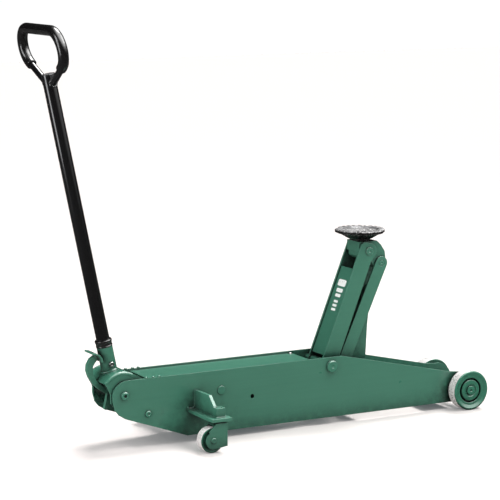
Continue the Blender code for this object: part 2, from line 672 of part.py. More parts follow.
def link_point(along, across):
    return offset(LINK_FOOT, along, across, LINK_TILT)


# The web stops short behind the head, which comes down onto the link when the arm is low.
web_upper = [link_point(250.0, -11.0), link_point(250.0, 1.0), link_point(213.0, 11.0)]
web_lower = [link_point(40.0, 11.0), link_point(28.0, -8.0)]
web_wedge = [(-303.0, 139.0), (-272.0, 150.0), (-267.0, 241.0)]
web = as_mesh(side_flat("link_web", web_upper + web_lower + web_wedge, -6.0, 6.0, green_paint))
for number, along in enumerate((70.0, 213.0)):
    tie = turned("tie_%d" % number, rod_profile(7.0, FIT - LINK_IN, LINK_IN - FIT, 0.5), green_paint, 16)
    combine(web, outward(tie, *link_point(along, 0.0), 1), "UNION")
top_pin = turned("link_top_pin", rod_profile(LINK_TOP_PIN_R, -LINK_OUT, LINK_OUT, 0.6), green_paint)
outward(top_pin, *LINK_TOP, 1)

# ---------- saddle ----------

SADDLE_FLOOR = 494.0
SADDLE_PROFILE = [(0, SADDLE_FLOOR), (44, SADDLE_FLOOR), (50, 498.0), (62, SADDLE_TOP), (SADDLE_R, 496.5),
                  (SADDLE_R, 484.0), (63, 479.0), (33, SADDLE_BASE), (26, SADDLE_BASE),
                  (26, HEAD_TOP + 0.6), (SADDLE_STUB_R, HEAD_TOP + 0.6),
                  (SADDLE_STUB_R, HEAD_TOP - 8.0), (0, HEAD_TOP - 8.0)]
saddle = turned("saddle", SADDLE_PROFILE, cast_iron, 28)
saddle.location = place(SADDLE_X, 0, 0)
NOTCHES = 4
for i in range(NOTCHES):
    notch = turned("notch_%d" % i, rod_profile(8.5, 470.0, 510.0, 0.1), cast_iron, 10)
    x, y = polar((SADDLE_X, 0.0), SADDLE_R + 3.5, 45.0 + 360.0 * i / NOTCHES)
    notch.location = place(x, y, 0)
    combine(saddle, notch, "DIFFERENCE")

# ---------- hydraulic unit ----------

PUMP_R = 8.0
VALVE_Y = 26.0
VALVE_Z = 118.0
VALVE_R = 6.0
RAM_R = 16.0
CYLINDER_IN = 30.0
CYLINDER_OUT = 37.0
ROLLER_FACE = ROLLER_CENTRE[0] + YOKE_ROLLER_R

block_outline = [(BLOCK_REAR, 84.0), (BLOCK_REAR + 48.0, 42.0), (BLOCK_FRONT, 42.0),
                 (BLOCK_FRONT, 140.0), (BLOCK_REAR, 140.0)]
block = as_mesh(side_flat("pump_block", block_outline, -46.0, 46.0, cast_iron))
pump_bore = turned("pump_bore", rod_profile(PUMP_R + FIT, BLOCK_REAR - 5, BLOCK_FRONT - 12, 0.1), cast_iron)
combine(block, forward(pump_bore, PUMP_Y, PUMP_Z), "DIFFERENCE")
valve_hole = rod_profile(VALVE_R + FIT, BLOCK_REAR - 5, BLOCK_REAR + 30, 0.1)
valve_bore = turned("valve_bore", valve_hole, cast_iron)
combine(block, forward(valve_bore, VALVE_Y, VALVE_Z), "DIFFERENCE")

TANK_ENDS = (BLOCK_FRONT + GAP, TANK_FRONT - GAP)
forward(turned("reservoir_tube", ring(44.0, 47.0, *TANK_ENDS), cast_iron), 0, RAM_Z)
forward(turned("cylinder_tube", ring(CYLINDER_IN, CYLINDER_OUT, *TANK_ENDS), bare_steel), 0, RAM_Z)
gland = turned("cylinder_gland", ring(RAM_R + FIT, 50.0, TANK_FRONT, TANK_FRONT + 20, 2.0), cast_iron)
forward(gland, 0, RAM_Z)

ROLLER_SPACE = 2.1
RAM_FRONT = CRANK[0] - CRANK_ROLLER_R - ROLLER_SPACE
RAM_HEAD = 26.0
ram_profile = [(0, RAM_FRONT - RAM_HEAD + 2), (RAM_R, RAM_FRONT - RAM_HEAD + 2), (RAM_R, -725.0),
               (CYLINDER_IN - 1, -725.0), (CYLINDER_IN - 1, -745.0), (0, -745.0)]
ram = turned("ram", ram_profile, bare_steel)
forward(ram, 0, RAM_Z)
pusher = box("pusher", (RAM_FRONT - RAM_HEAD, -19.0, 62.0), (RAM_FRONT, 19.0, 106.0), bare_steel, 1.5)
combine(ram, pusher, "UNION")



def headed_rod(radius, front, head_r, head_front, head_rear):
    """Profile of a plain rod along X with a wider head at its rear end."""
    return [(0, front), (radius, front), (radius, head_front), (head_r, head_front), (head_r, head_rear),
            (0, head_rear)]


piston_profile = headed_rod(PUMP_R, -915.0, 12.0, ROLLER_FACE + 5.0, ROLLER_FACE + 1.0)
forward(turned("pump_piston", piston_profile, bare_steel), PUMP_Y, PUMP_Z)
valve_profile = headed_rod(VALVE_R, BLOCK_REAR + 20, 9.0, BLOCK_REAR - 3, BLOCK_REAR - 13)
forward(turned("release_valve", valve_profile, bare_steel), VALVE_Y, VALVE_Z)
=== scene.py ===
"""A long-chassis trolley jack: welded green chassis, black handle with a D grip, dark cast saddle.

Metres throughout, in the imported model's frame: X towards the front wheels, Y across, Z up.
"""
import json
import math

import bmesh
import bpy
import numpy as np
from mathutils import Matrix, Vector

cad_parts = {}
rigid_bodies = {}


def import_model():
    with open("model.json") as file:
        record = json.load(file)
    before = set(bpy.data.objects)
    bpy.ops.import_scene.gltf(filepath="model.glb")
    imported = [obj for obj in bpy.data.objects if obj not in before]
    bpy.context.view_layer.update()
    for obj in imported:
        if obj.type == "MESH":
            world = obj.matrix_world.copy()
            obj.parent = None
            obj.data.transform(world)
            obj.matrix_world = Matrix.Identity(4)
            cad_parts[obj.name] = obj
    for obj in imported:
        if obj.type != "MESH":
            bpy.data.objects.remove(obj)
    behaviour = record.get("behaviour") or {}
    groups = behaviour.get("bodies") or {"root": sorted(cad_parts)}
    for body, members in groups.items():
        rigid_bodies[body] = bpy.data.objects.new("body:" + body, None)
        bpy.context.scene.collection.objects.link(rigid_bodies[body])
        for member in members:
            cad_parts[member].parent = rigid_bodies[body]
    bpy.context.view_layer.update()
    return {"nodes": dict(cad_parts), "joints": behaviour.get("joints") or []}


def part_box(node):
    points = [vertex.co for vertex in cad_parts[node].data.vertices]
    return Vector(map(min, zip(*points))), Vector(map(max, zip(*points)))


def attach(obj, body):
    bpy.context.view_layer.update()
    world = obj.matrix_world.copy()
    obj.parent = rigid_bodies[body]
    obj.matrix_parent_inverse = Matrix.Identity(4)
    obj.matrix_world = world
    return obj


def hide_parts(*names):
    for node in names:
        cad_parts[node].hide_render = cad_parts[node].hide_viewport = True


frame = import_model()

# ---------- the studio ----------
# The jack stands on a white sweep under a wide overhead light from the back right. The room glows from
# above and in front, while its mirror image in the paint is mostly dark, with one long strip at the left.

CAMERA_PLACE = (-2.5495, -4.6236, 1.2802)
CAMERA_TURN = (math.radians(81.19), 0.0, math.radians(-28.47))
LENS = 150.03

camera = bpy.data.objects.new("camera", bpy.data.cameras.new("camera"))
camera.location = CAMERA_PLACE
camera.rotation_euler = CAMERA_TURN
camera.data.lens = LENS
camera.data.sensor_width = 36.0
bpy.context.scene.collection.objects.link(camera)
bpy.context.scene.camera = camera
bpy.context.scene.view_settings.view_transform = "Standard"


def add_node(tree, kind, settings=None, **values):
    """A node of a tree, with its properties and the default values of its named inputs."""
    node = tree.nodes.new(kind)
    for key, value in (settings or {}).items():
        setattr(node, key, value)
    for key, value in values.items():
        node.inputs[key.replace("_", " ")].default_value = value
    return node


def colour_ramp(tree, source, stops):
    """A colour ramp fed by a value; stops are (position, grey or colour)."""
    ramp = add_node(tree, "ShaderNodeValToRGB")
    while len(ramp.color_ramp.elements) < len(stops):
        ramp.color_ramp.elements.new(0.5)
    for element, (position, colour) in zip(ramp.color_ramp.elements, stops):
        element.position = position
        element.color = (*colour, 1.0) if isinstance(colour, tuple) else (colour,) * 3 + (1.0,)
    tree.links.new(source, ramp.inputs["Fac"])
    return ramp.outputs["Color"]


def maths(tree, operation, first, second=0.5, clamp=False, third=0.5):
    """One math node; each side is a socket or a number."""
    node = add_node(tree, "ShaderNodeMath", {"operation": operation, "use_clamp": clamp})
    for slot, side in zip(node.inputs, (first, second, third)):
        if isinstance(side, (int, float)):
            slot.default_value = side
        else:
            tree.links.new(side, slot)
    return node.outputs["Value"]


def mix(tree, factor, first, second, blend="MIX"):
    """A colour mix; the factor is a socket or a number, each colour a socket or a tuple."""
    node = add_node(tree, "ShaderNodeMix", {"data_type": "RGBA", "blend_type": blend})
    for name, side in (("Factor", factor), ("A", first), ("B", second)):
        slot = next(s for s in node.inputs if s.name == name and s.enabled)
        if isinstance(side, (int, float)):
            slot.default_value = side
        elif isinstance(side, tuple):
            slot.default_value = (*side, 1.0)
        else:
            tree.links.new(side, slot)
    return next(s for s in node.outputs if s.enabled)


MIRROR_GLOW = 6.0
BACKDROP_WHITE = 1.02


def room_light():
    """White behind the jack, a soft glow from above and in front, and a darker room for reflections."""
    world = bpy.data.worlds.new("studio")
    bpy.context.scene.world = world
    world.use_nodes = True
    tree = world.node_tree
    where = add_node(tree, "ShaderNodeTexCoord")
    glows = []
    soft_glow = ((-0.42, -0.84, 0.34), [(0.10, 0.10), (0.50, 0.34), (0.75, 0.78), (0.95, 0.95)])
    mirror_glow = ((0.40, -0.35, 0.85), [(0.45, 0.0012), (0.74, 0.006), (0.84, 0.20), (0.92, 1.0)])
    for heading, stops in (soft_glow, mirror_glow):
        towards = add_node(tree, "ShaderNodeVectorMath", {"operation": "DOT_PRODUCT"})
        towards.inputs[1].default_value = heading
        tree.links.new(where.outputs["Generated"], towards.inputs[0])
        glows.append(colour_ramp(tree, maths(tree, "MULTIPLY_ADD", towards.outputs["Value"], 0.5), stops))
    glows[1] = mix(tree, 1.0, glows[1], (MIRROR_GLOW,) * 3, "MULTIPLY")
    path = add_node(tree, "ShaderNodeLightPath")
    lit = mix(tree, path.outputs["Is Glossy Ray"], *glows)
    seen = mix(tree, path.outputs["Is Camera Ray"], lit, (BACKDROP_WHITE,) * 3)
    tree.links.new(seen, tree.nodes["Background"].inputs["Color"])


room_light()


def lamp(name, kind, place, aim, **settings):
    """A light at a place, turned to look at a point."""
    data = bpy.data.lights.new(name, kind)
    for key, value in settings.items():
        setattr(data, key, value)
    light = bpy.data.objects.new(name, data)
    light.location = place
    light.rotation_euler = (Vector(aim) - Vector(place)).to_track_quat("-Z", "Y").to_euler()
    bpy.context.scene.collection.objects.link(light)


lamp("overhead", "SUN", (1.3, 1.1, 3.0), (0.0, 0.0, 0.0), energy=3.1, angle=math.radians(28.0),
     color=(1.0, 0.99, 0.98))
lamp("key_box", "AREA", (1.20, -0.95, 2.75), (0.05, 0.0, 0.2), shape="RECTANGLE", size=1.7, size_y=1.5,
     energy=48.0, color=(1.0, 0.99, 0.98))
lamp("left_strip", "AREA", (-2.5, -0.25, 0.85), (-0.4, 0.0, 0.5), shape="RECTANGLE", size=0.8, size_y=2.6,
     energy=36.0, color=(0.97, 0.98, 1.0))

# The floor is a wide white sheet, dark to mirror rays so that black paint stays black.
FLOOR_HALF = 14.0
floor_mesh = bpy.data.meshes.new("floor")
floor_mesh.from_pydata([(x * FLOOR_HALF, y * FLOOR_HALF, -0.0004)
                        for x, y in ((-1, -1), (1, -1), (1, 1), (-1, 1))], [], [(0, 1, 2, 3)])
floor = bpy.data.objects.new("floor", floor_mesh)
bpy.context.scene.collection.objects.link(floor)
floor_paper = bpy.data.materials.new("floor_paper")
floor_paper.use_nodes = True
paper = floor_paper.node_tree
paper_path = add_node(paper, "ShaderNodeLightPath")
paper_shader = paper.nodes["Principled BSDF"]
PAPER_WARM = (0.70, 0.648, 0.632)
PAPER_IN_MIRRORS = (0.045, 0.045, 0.045)
PAPER_GLOW = 0.10
paper.links.new(mix(paper, paper_path.outputs["Is Glossy Ray"], PAPER_WARM, PAPER_IN_MIRRORS),
                paper_shader.inputs["Base Color"])
paper_shader.inputs["Roughness"].default_value = 1.0
paper_shader.inputs["Specular IOR Level"].default_value = 0.0
paper_shader.inputs["Emission Color"].default_value = (0.84, 1.0, 1.03, 1.0)
paper.links.new(maths(paper, "MULTIPLY", paper_path.outputs["Is Camera Ray"], PAPER_GLOW),
                paper_shader.inputs["Emission Strength"])
floor_mesh.materials.append(floor_paper)

# ---------- side plates and cross members ----------
# Two 6 mm steel plates carry everything. They are flame cut, ground at the edges and sprayed green;
# a cover plate, a front tie and the link's anchor bar are welded between them.

ENAMEL = (0.047, 0.176, 0.119)
ENAMEL_DARK = (0.026, 0.108, 0.073)
PRIMER_GREY = (0.24, 0.34, 0.29)


def new_group(name, inputs, outputs):
    """An empty shader node group with named sockets; returns the group and its two end nodes."""
    group = bpy.data.node_groups.new(name, "ShaderNodeTree")
    for socket, kind, value in inputs:
        made = group.interface.new_socket(socket, in_out="INPUT", socket_type="NodeSocket" + kind)
        made.default_value = value
    for socket, kind in outputs:
        group.interface.new_socket(socket, in_out="OUTPUT", socket_type="NodeSocket" + kind)
    return group, group.nodes.new("NodeGroupInput"), group.nodes.new("NodeGroupOutput")


def noise(tree, vector, scale, detail=3.0, roughness=0.5):
    node = add_node(tree, "ShaderNodeTexNoise", Detail=detail, Roughness=roughness)
    tree.links.new(vector, node.inputs["Vector"])
    if isinstance(scale, float):
        node.inputs["Scale"].default_value = scale
    else:
        tree.links.new(scale, node.inputs["Scale"])
    return node.outputs["Fac"]


def sprayed_coat_group():
    """Broad drifts of tone from the spray gun, and the fine orange peel of the dried film."""
    group, start, end = new_group("sprayed_coat",
                                  [("Vector", "Vector", (0, 0, 0)), ("Light", "Color", (1, 1, 1, 1)),
                                   ("Dark", "Color", (0, 0, 0, 1)), ("Gloss", "Float", 0.3)],
                                  [("Color", "Color"), ("Roughness", "Float"), ("Height", "Float")])
    place = start.outputs["Vector"]
    drift = noise(group, place, 7.0, 3.0, 0.5)
    cloud = noise(group, place, 38.0, 2.0, 0.5)
    pulled = add_node(group, "ShaderNodeVectorMath", {"operation": "MULTIPLY"})
    pulled.inputs[1].default_value = (4.0, 60.0, 170.0)
    group.links.new(place, pulled.inputs[0])
    streak = noise(group, pulled.outputs["Vector"], 1.0, 2.0)
    tone = maths(group, "MULTIPLY_ADD", drift, 0.55, third=maths(group, "MULTIPLY", streak, 0.45))
    shade = colour_ramp(group, tone, [(0.32, 0.22), (0.62, 0.0)])
    group.links.new(mix(group, shade, start.outputs["Light"], start.outputs["Dark"]), end.inputs["Color"])
    haze = maths(group, "MULTIPLY", maths(group, "SUBTRACT", cloud, 0.5), 0.10)
    group.links.new(maths(group, "ADD", start.outputs["Gloss"], haze, clamp=True), end.inputs["Roughness"])
    peel = maths(group, "MULTIPLY", noise(group, place, 620.0, 1.0), 0.7)
    dust = maths(group, "MULTIPLY", noise(group, place, 2400.0, 1.0), 0.3)
    group.links.new(maths(group, "ADD", peel, dust), end.inputs["Height"])
    return group


def worn_edge_group():
    """A mask along sharp edges, where the surface turns within a short reach, broken up by noise."""
    group, start, end = new_group("worn_edge",
                                  [("Vector", "Vector", (0, 0, 0)), ("Reach", "Float", 0.0012),
                                   ("Amount", "Float", 0.5)],
                                  [("Mask", "Float")])
    rounded = add_node(group, "ShaderNodeBevel", {"samples": 3})
    group.links.new(start.outputs["Reach"], rounded.inputs["Radius"])
    plain = add_node(group, "ShaderNodeNewGeometry")
    turn = add_node(group, "ShaderNodeVectorMath", {"operation": "DOT_PRODUCT"})
    group.links.new(rounded.outputs["Normal"], turn.inputs[0])
    group.links.new(plain.outputs["Normal"], turn.inputs[1])
    bend = maths(group, "MULTIPLY", maths(group, "SUBTRACT", 1.0, turn.outputs["Value"]), 9.0, clamp=True)
    chips = colour_ramp(group, noise(group, start.outputs["Vector"], 260.0, 5.0, 0.7),
                        [(0.46, 0.0), (0.60, 1.0)])
    chipped = maths(group, "MULTIPLY", bend, chips)
    worn = maths(group, "MULTIPLY", chipped, start.outputs["Amount"], clamp=True)
    group.links.new(worn, end.inputs["Mask"])
    return group


def corner_shade_group():
    """A mask for painted shade that grows in corners and gaps within a reach, broken up by noise."""
    group, start, end = new_group("corner_dirt",
                                  [("Vector", "Vector", (0, 0, 0)), ("Reach", "Float", 0.02),
                                   ("Amount", "Float", 0.5)],
                                  [("Mask", "Float")])
    gap = add_node(group, "ShaderNodeAmbientOcclusion", {"samples": 4})
    group.links.new(start.outputs["Reach"], gap.inputs["Distance"])
    closed = maths(group, "SUBTRACT", 1.0, gap.outputs["AO"], clamp=True)
    patch = maths(group, "MULTIPLY_ADD", noise(group, start.outputs["Vector"], 70.0, 4.0), 0.8)
    dusty = maths(group, "MULTIPLY", closed, patch)
    amount = maths(group, "MULTIPLY", dusty, start.outputs["Amount"], clamp=True)
    group.links.new(amount, end.inputs["Mask"])
    return group


sprayed_coat = sprayed_coat_group()
worn_edge = worn_edge_group()
corner_dirt = corner_shade_group()


def use_group(tree, group, vector, **values):
    node = add_node(tree, "ShaderNodeGroup", {"node_tree": group}, **values)
    tree.links.new(vector, node.inputs["Vector"])
    return node


def bump(tree, height, distance, strength=1.0):
    node = add_node(tree, "ShaderNodeBump", Strength=strength, Distance=distance)
    tree.links.new(height, node.inputs["Height"])
    tree.links.new(node.outputs["Normal"], tree.nodes["Principled BSDF"].inputs["Normal"])


def start_material(name):
    """A material with its node tree, its Principled shader and the object's own coordinates."""
    made = bpy.data.materials.new(name)
    made.use_nodes = True
    tree = made.node_tree
    where = add_node(tree, "ShaderNodeTexCoord")
    return made, tree, tree.nodes["Principled BSDF"], where.outputs["Object"]


def enamel(name, light, dark, bare, gloss=0.30, wear=0.6, corners=1.0, inside=(0.40, 0.66)):
    """Sprayed enamel: drifting tone and orange peel, chipped to primer on edges, painted shade in corners
    and hollows.
    """
    made, tree, shader, place = start_material(name)
    coat = use_group(tree, sprayed_coat, place, Light=(*light, 1.0), Dark=(*dark, 1.0), Gloss=gloss)
    edge = use_group(tree, worn_edge, place, Reach=0.0010, Amount=wear)
    # Painted shade: near corners the colour darkens towards deep green and the gloss dulls a little; corners
    # sets how much.
    corner_shading = use_group(tree, corner_dirt, place, Reach=0.050, Amount=corners)
    tone = mix(tree, corner_shading.outputs["Mask"], coat.outputs["Color"], tuple(c * 0.16 for c in dark))
    # Painted shade in deep hollows: over a 15 cm reach the enamel goes nearly black; inside gives where that
    # ramp starts and ends.
    deep_corner_shade = use_group(tree, corner_dirt, place, Reach=0.150, Amount=1.0)
    deep_shade = colour_ramp(tree, deep_corner_shade.outputs["Mask"], [(inside[0], 0.0), (inside[1], 1.0)])
    tone = mix(tree, deep_shade, tone, tuple(c * 0.05 for c in dark))
    tone = mix(tree, edge.outputs["Mask"], tone, bare)
    tree.links.new(tone, shader.inputs["Base Color"])
    corner_rough = maths(tree, "MULTIPLY", corner_shading.outputs["Mask"], 0.35)
    rough = maths(tree, "ADD", coat.outputs["Roughness"], corner_rough, clamp=True)
    tree.links.new(rough, shader.inputs["Roughness"])
    shader.inputs["Coat Weight"].default_value = 0.25
    shader.inputs["Coat Roughness"].default_value = 0.08
    bump(tree, coat.outputs["Height"], 0.00005, 0.8)
    return made


# Each enamel paints shade into its corners, and near black shade deep in hollows such as between the plates
# behind the head.
green_enamel = enamel("green_enamel", ENAMEL, ENAMEL_DARK, PRIMER_GREY)
arm_enamel = enamel("arm_enamel", ENAMEL, ENAMEL_DARK, PRIMER_GREY, corners=0.35)
# The arm's side plates start that deep painted shade sooner, so their inner faces go darker.
arm_side_enamel = enamel("arm_side_enamel", ENAMEL, ENAMEL_DARK, PRIMER_GREY, corners=0.35,
                         inside=(0.26, 0.48))
bolt_enamel = enamel("bolt_enamel", ENAMEL, ENAMEL_DARK, PRIMER_GREY, gloss=0.16, wear=0.8)


def link_piece(name, mesh, materials, body, replaced):
    """Put a finished mesh in the scene as a piece of the jack."""
    piece = bpy.data.objects.new(name, mesh)
    bpy.context.scene.collection.objects.link(piece)
    for made in materials:
        mesh.materials.append(made)
    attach(piece, body)
    if replaced:
        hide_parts(*replaced)
    return piece


def dress(node, made, edge=0.0009, segments=2):
    """A copy of a node's own solid, its triangles merged into flats, with every sharp edge rolled over."""
    mesh = frame["nodes"][node].data.copy()
    mesh.materials.clear()
    work = bmesh.new()
    work.from_mesh(mesh)
    bmesh.ops.remove_doubles(work, verts=work.verts, dist=1e-6)
    bmesh.ops.dissolve_limit(work, angle_limit=math.radians(0.6), verts=work.verts, edges=work.edges)
    for face in work.faces:
        face.smooth = True
    work.to_mesh(mesh)
    work.free()
    body = frame["nodes"][node].parent.name.split(":")[1]
    piece = link_piece(node + "_skin", mesh, [made], body, [node])
    bevel = piece.modifiers.new("rolled_edge", "BEVEL")
    bevel.width = edge
    bevel.segments = segments
    bevel.limit_method = "ANGLE"
    bevel.angle_limit = math.radians(26.0)
    bevel.miter_outer = "MITER_ARC"
    flats = piece.modifiers.new("flat_faces", "WEIGHTED_NORMAL")
    flats.weight = 60
    return piece


for node in ("side_plate_right", "side_plate_left"):
    dress(node, green_enamel, edge=0.0018, segments=3)
for node in ("cover_plate", "front_cross_plate", "link_anchor"):
    dress(node, green_enamel)

# ---------- bolts, axle and shaft ends ----------
# Turned steel pins and bolt heads that hold the plates, painted over with the chassis. Their corners
# are small radii and the faces show the lathe's rings.


def rounded(profile, radius, closed=False, steps=5):
    """Each corner p of a profile becomes a quadratic arc between points on its two edges.

    The arc is (1-t)^2 a + 2t(1-t) p + t^2 b, with a and b at the radius from p, or at 45 percent of a
    short edge. An open profile keeps its first and last point."""
    points = np.asarray(profile, float)
    before = np.roll(points, 1, axis=0) - points
    after = np.roll(points, -1, axis=0) - points
    back = np.maximum(np.linalg.norm(before, axis=1, keepdims=True), 1e-9)
    ahead = np.maximum(np.linalg.norm(after, axis=1, keepdims=True), 1e-9)
    reach = np.minimum(radius, 0.45 * np.minimum(back, ahead))
    first, last = points + before / back * reach, points + after / ahead * reach
    t = np.linspace(0.0, 1.0, steps)[None, :, None]
    arcs = (1 - t) ** 2 * first[:, None] + 2 * t * (1 - t) * points[:, None] + t ** 2 * last[:, None]
    if closed:
        return arcs.reshape(-1, 2)
    return np.vstack([points[:1], arcs[1:-1].reshape(-1, 2), points[-1:]])


def grid_mesh(name, points, wrap_rows=False, tags=None):
    """A closed skin over a grid of points, rows by columns, whose columns meet round the piece.

    Neighbours on the grid share a face; points that coincide, as at a pole, become one."""
    rows, columns = points.shape[:2]
    row = np.arange(rows if wrap_rows else rows - 1)[:, None]
    column = np.arange(columns)[None, :]
    here, below = row * columns, (row + 1) % rows * columns
    right = (column + 1) % columns
    faces = np.stack([here + column, here + right, below + right, below + column], -1).reshape(-1, 4)
    mesh = bpy.data.meshes.new(name)
    mesh.from_pydata(points.reshape(-1, 3), [], faces.tolist())
    if tags is not None:
        mesh.polygons.foreach_set("material_index", np.repeat(tags[:len(row)], columns).astype(np.int32))
    work = bmesh.new()
    work.from_mesh(mesh)
    bmesh.ops.remove_doubles(work, verts=work.verts, dist=1e-7)
    bmesh.ops.recalc_face_normals(work, faces=work.faces)
    for face in work.faces:
        face.smooth = True
    work.to_mesh(mesh)
    work.free()
    mesh.set_sharp_from_angle(angle=math.radians(32.0))
    return mesh


def turned_points(profile, centre, axis, steps):
    """The point at profile distance i and turn angle j: centre, plus height i along the axis, plus
    radius i times the cosine and sine of j along two directions square to it."""
    axis = np.asarray(axis, float) / np.linalg.norm(axis)
    side = np.cross(axis, (0.0, 0.0, 1.0) if abs(axis[2]) < 0.9 else (0.0, 1.0, 0.0))
    side /= np.linalg.norm(side)
    other = np.cross(axis, side)
    angle = np.linspace(0.0, 2 * np.pi, steps, endpoint=False)
    ring = np.cos(angle)[:, None] * side + np.sin(angle)[:, None] * other
    return np.asarray(centre) + profile[:, 0, None, None] * ring + profile[:, 1, None, None] * axis


def turned_piece(name, profile, centre, axis, made, replaced, body=None, steps=64, corner=0.0006,
                 closed=False):
    """A lathe piece; a profile that doesn't start on the axis is a ring and closes on itself."""
    smooth = rounded(profile, corner, closed)
    mesh = grid_mesh(name, turned_points(smooth, centre, axis, steps), wrap_rows=closed)
    body = body or frame["nodes"][replaced[0]].parent.name.split(":")[1]
    return link_piece(name, mesh, [made], body, replaced)


def middle(node):
    low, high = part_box(node)
    return np.array((low + high) / 2), np.array(high - low)


SIDES = (("right", -1.0), ("left", 1.0))
plate_face = abs(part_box("side_plate_right")[0].y)


def bolt_head(name, node, side, made, dish=0.45, flat=0.74):
    """A bolt head on the plate's outer face; dish is how deep its middle sinks, by share of height."""
    centre, size = middle(node)
    radius = size[0] / 2
    low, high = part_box(node)
    top = max(abs(low.y), abs(high.y))
    foot = min(abs(low.y), abs(high.y))
    seat = plate_face + 0.0002
    shank = radius * 0.55
    rise = top - seat
    profile = [(0, top - rise * dish), (radius * 0.26, top - rise * dish * 0.95), (radius * 0.40, top),
               (radius * flat, top), (radius, top - rise * 0.35), (radius, seat + rise * 0.30),
               (radius * 0.86, seat + rise * 0.20), (radius * 0.86, seat), (shank, seat), (shank, foot),
               (0, foot)]
    turned_piece(name, profile, (centre[0], 0, centre[2]), (0, side, 0), made, [node],
                 corner=0.0006)


for word, side in SIDES:
    bolt_head("yoke_bolt_" + word + "_head", "yoke_bolt_" + word, side, bolt_enamel, dish=0.8)
    bolt_head("block_bolt_" + word + "_head", "block_bolt_" + word, side, bolt_enamel)
    bolt_head("tank_bolt_" + word + "_head", "tank_bolt_" + word, side, bolt_enamel, dish=0.04, flat=0.92)


def through_pin(name, node, side, low, high, radius, head, made, seat=None,
                steps=64):
    """A pin through the plates: a head of the given radius outside the seat, and a plain shank behind it."""
    centre = middle(node)[0]
    seat = plate_face + 0.0002 if seat is None else seat
    dimple = head * 0.34
    washer = seat + (high - seat) * 0.30
    profile = [(0, high - 0.0012), (dimple * 0.5, high - 0.0011), (dimple, high), (head - 0.0022, high),
               (head, high - 0.0024), (head, washer + 0.0012), (head * 0.82, washer + 0.0010),
               (head * 0.82, washer), (head, washer - 0.0002), (head, seat), (radius, seat), (radius, low),
               (0, low)]
    return turned_piece(name, profile, (centre[0], 0, centre[2]), (0, side, 0), made, [node],
                        corner=0.0006, steps=steps)


SHAFT_RADIUS = 0.012
shaft_low, shaft_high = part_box("arm_shaft")
through_pin("arm_shaft_pin", "arm_shaft", -1.0, -shaft_high.y, -shaft_low.y, SHAFT_RADIUS,
            (shaft_high.x - shaft_low.x) / 2, bolt_enamel)


def collar_ring(name, node, side, bore, made, corner=0.0010):
    """A plain ring round a shaft, flush with the box of its node."""
    centre, size = middle(node)
    low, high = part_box(node)
    near, far = sorted((abs(low.y), abs(high.y)))
    profile = [(bore, far), (size[0] / 2, far), (size[0] / 2, near), (bore, near)]
    return turned_piece(name, profile, (centre[0], 0, centre[2]), (0, side, 0), made, [node],
                        corner=corner, closed=True)


BORE_PLAY = 0.0004
collar_ring("arm_shaft_nut_ring", "arm_shaft_nut", 1.0, SHAFT_RADIUS + BORE_PLAY, green_enamel)

AXLE_RADIUS = 0.012
for word, side in SIDES:
    collar_ring("axle_spacer_" + word + "_ring", "axle_spacer_" + word, side,
                AXLE_RADIUS + BORE_PLAY, green_enamel)

# The cover screws are zinc-plated pan heads with a cross recess.

ZINC = (0.62, 0.63, 0.62)
ZINC_DULL = (0.34, 0.345, 0.34)


def turning_marks_group():
    """Fine rings left by a lathe: noise read by distance from an axis and height along it."""
    group, start, end = new_group("turning_marks",
                                  [("Vector", "Vector", (0, 0, 0)), ("Centre", "Vector", (0, 0, 0)),
                                   ("Axis", "Vector", (0, 1, 0)), ("Fineness", "Float", 900.0)],
                                  [("Height", "Float"), ("Mask", "Float")])
    arm = add_node(group, "ShaderNodeVectorMath", {"operation": "SUBTRACT"})
    group.links.new(start.outputs["Vector"], arm.inputs[0])
    group.links.new(start.outputs["Centre"], arm.inputs[1])
    height = add_node(group, "ShaderNodeVectorMath", {"operation": "DOT_PRODUCT"})
    group.links.new(arm.outputs["Vector"], height.inputs[0])
    group.links.new(start.outputs["Axis"], height.inputs[1])
    across = add_node(group, "ShaderNodeVectorMath", {"operation": "CROSS_PRODUCT"})
    group.links.new(arm.outputs["Vector"], across.inputs[0])
    group.links.new(start.outputs["Axis"], across.inputs[1])
    radius = add_node(group, "ShaderNodeVectorMath", {"operation": "LENGTH"})
    group.links.new(across.outputs["Vector"], radius.inputs[0])
    flat = add_node(group, "ShaderNodeCombineXYZ")
    group.links.new(radius.outputs["Value"], flat.inputs["X"])
    group.links.new(height.outputs["Value"], flat.inputs["Y"])
    rings = noise(group, flat.outputs["Vector"], start.outputs["Fineness"], 2.0)
    group.links.new(rings, end.inputs["Height"])
    group.links.new(colour_ramp(group, rings, [(0.35, 0.0), (0.65, 1.0)]), end.inputs["Mask"])
    return group


turning_marks = turning_marks_group()


def bare_metal(name, light, dull, centre, axis, roughness=0.3, fineness=900.0):
    """Machined or plated steel: lathe rings in colour, gloss and relief, with painted shade in corners."""
    made, tree, shader, place = start_material(name)
    marks = use_group(tree, turning_marks, place, Centre=tuple(centre), Axis=tuple(axis), Fineness=fineness)
    corner_shading = use_group(tree, corner_dirt, place, Reach=0.010, Amount=0.8)
    tone = mix(tree, marks.outputs["Mask"], light, dull)
    smear = colour_ramp(tree, noise(tree, place, 85.0, 4.0, 0.6), [(0.45, 1.0), (0.72, 0.62)])
    tone = mix(tree, 1.0, tone, smear, "MULTIPLY")
    tree.links.new(mix(tree, corner_shading.outputs["Mask"], tone, (0.06, 0.06, 0.055)), shader.inputs["Base Color"])
    rough = maths(tree, "MULTIPLY_ADD", marks.outputs["Height"], 0.25, third=roughness - 0.12)
    tree.links.new(rough, shader.inputs["Roughness"])
    shader.inputs["Metallic"].default_value = 1.0
    bump(tree, marks.outputs["Height"], 0.00004, 0.6)
    return made


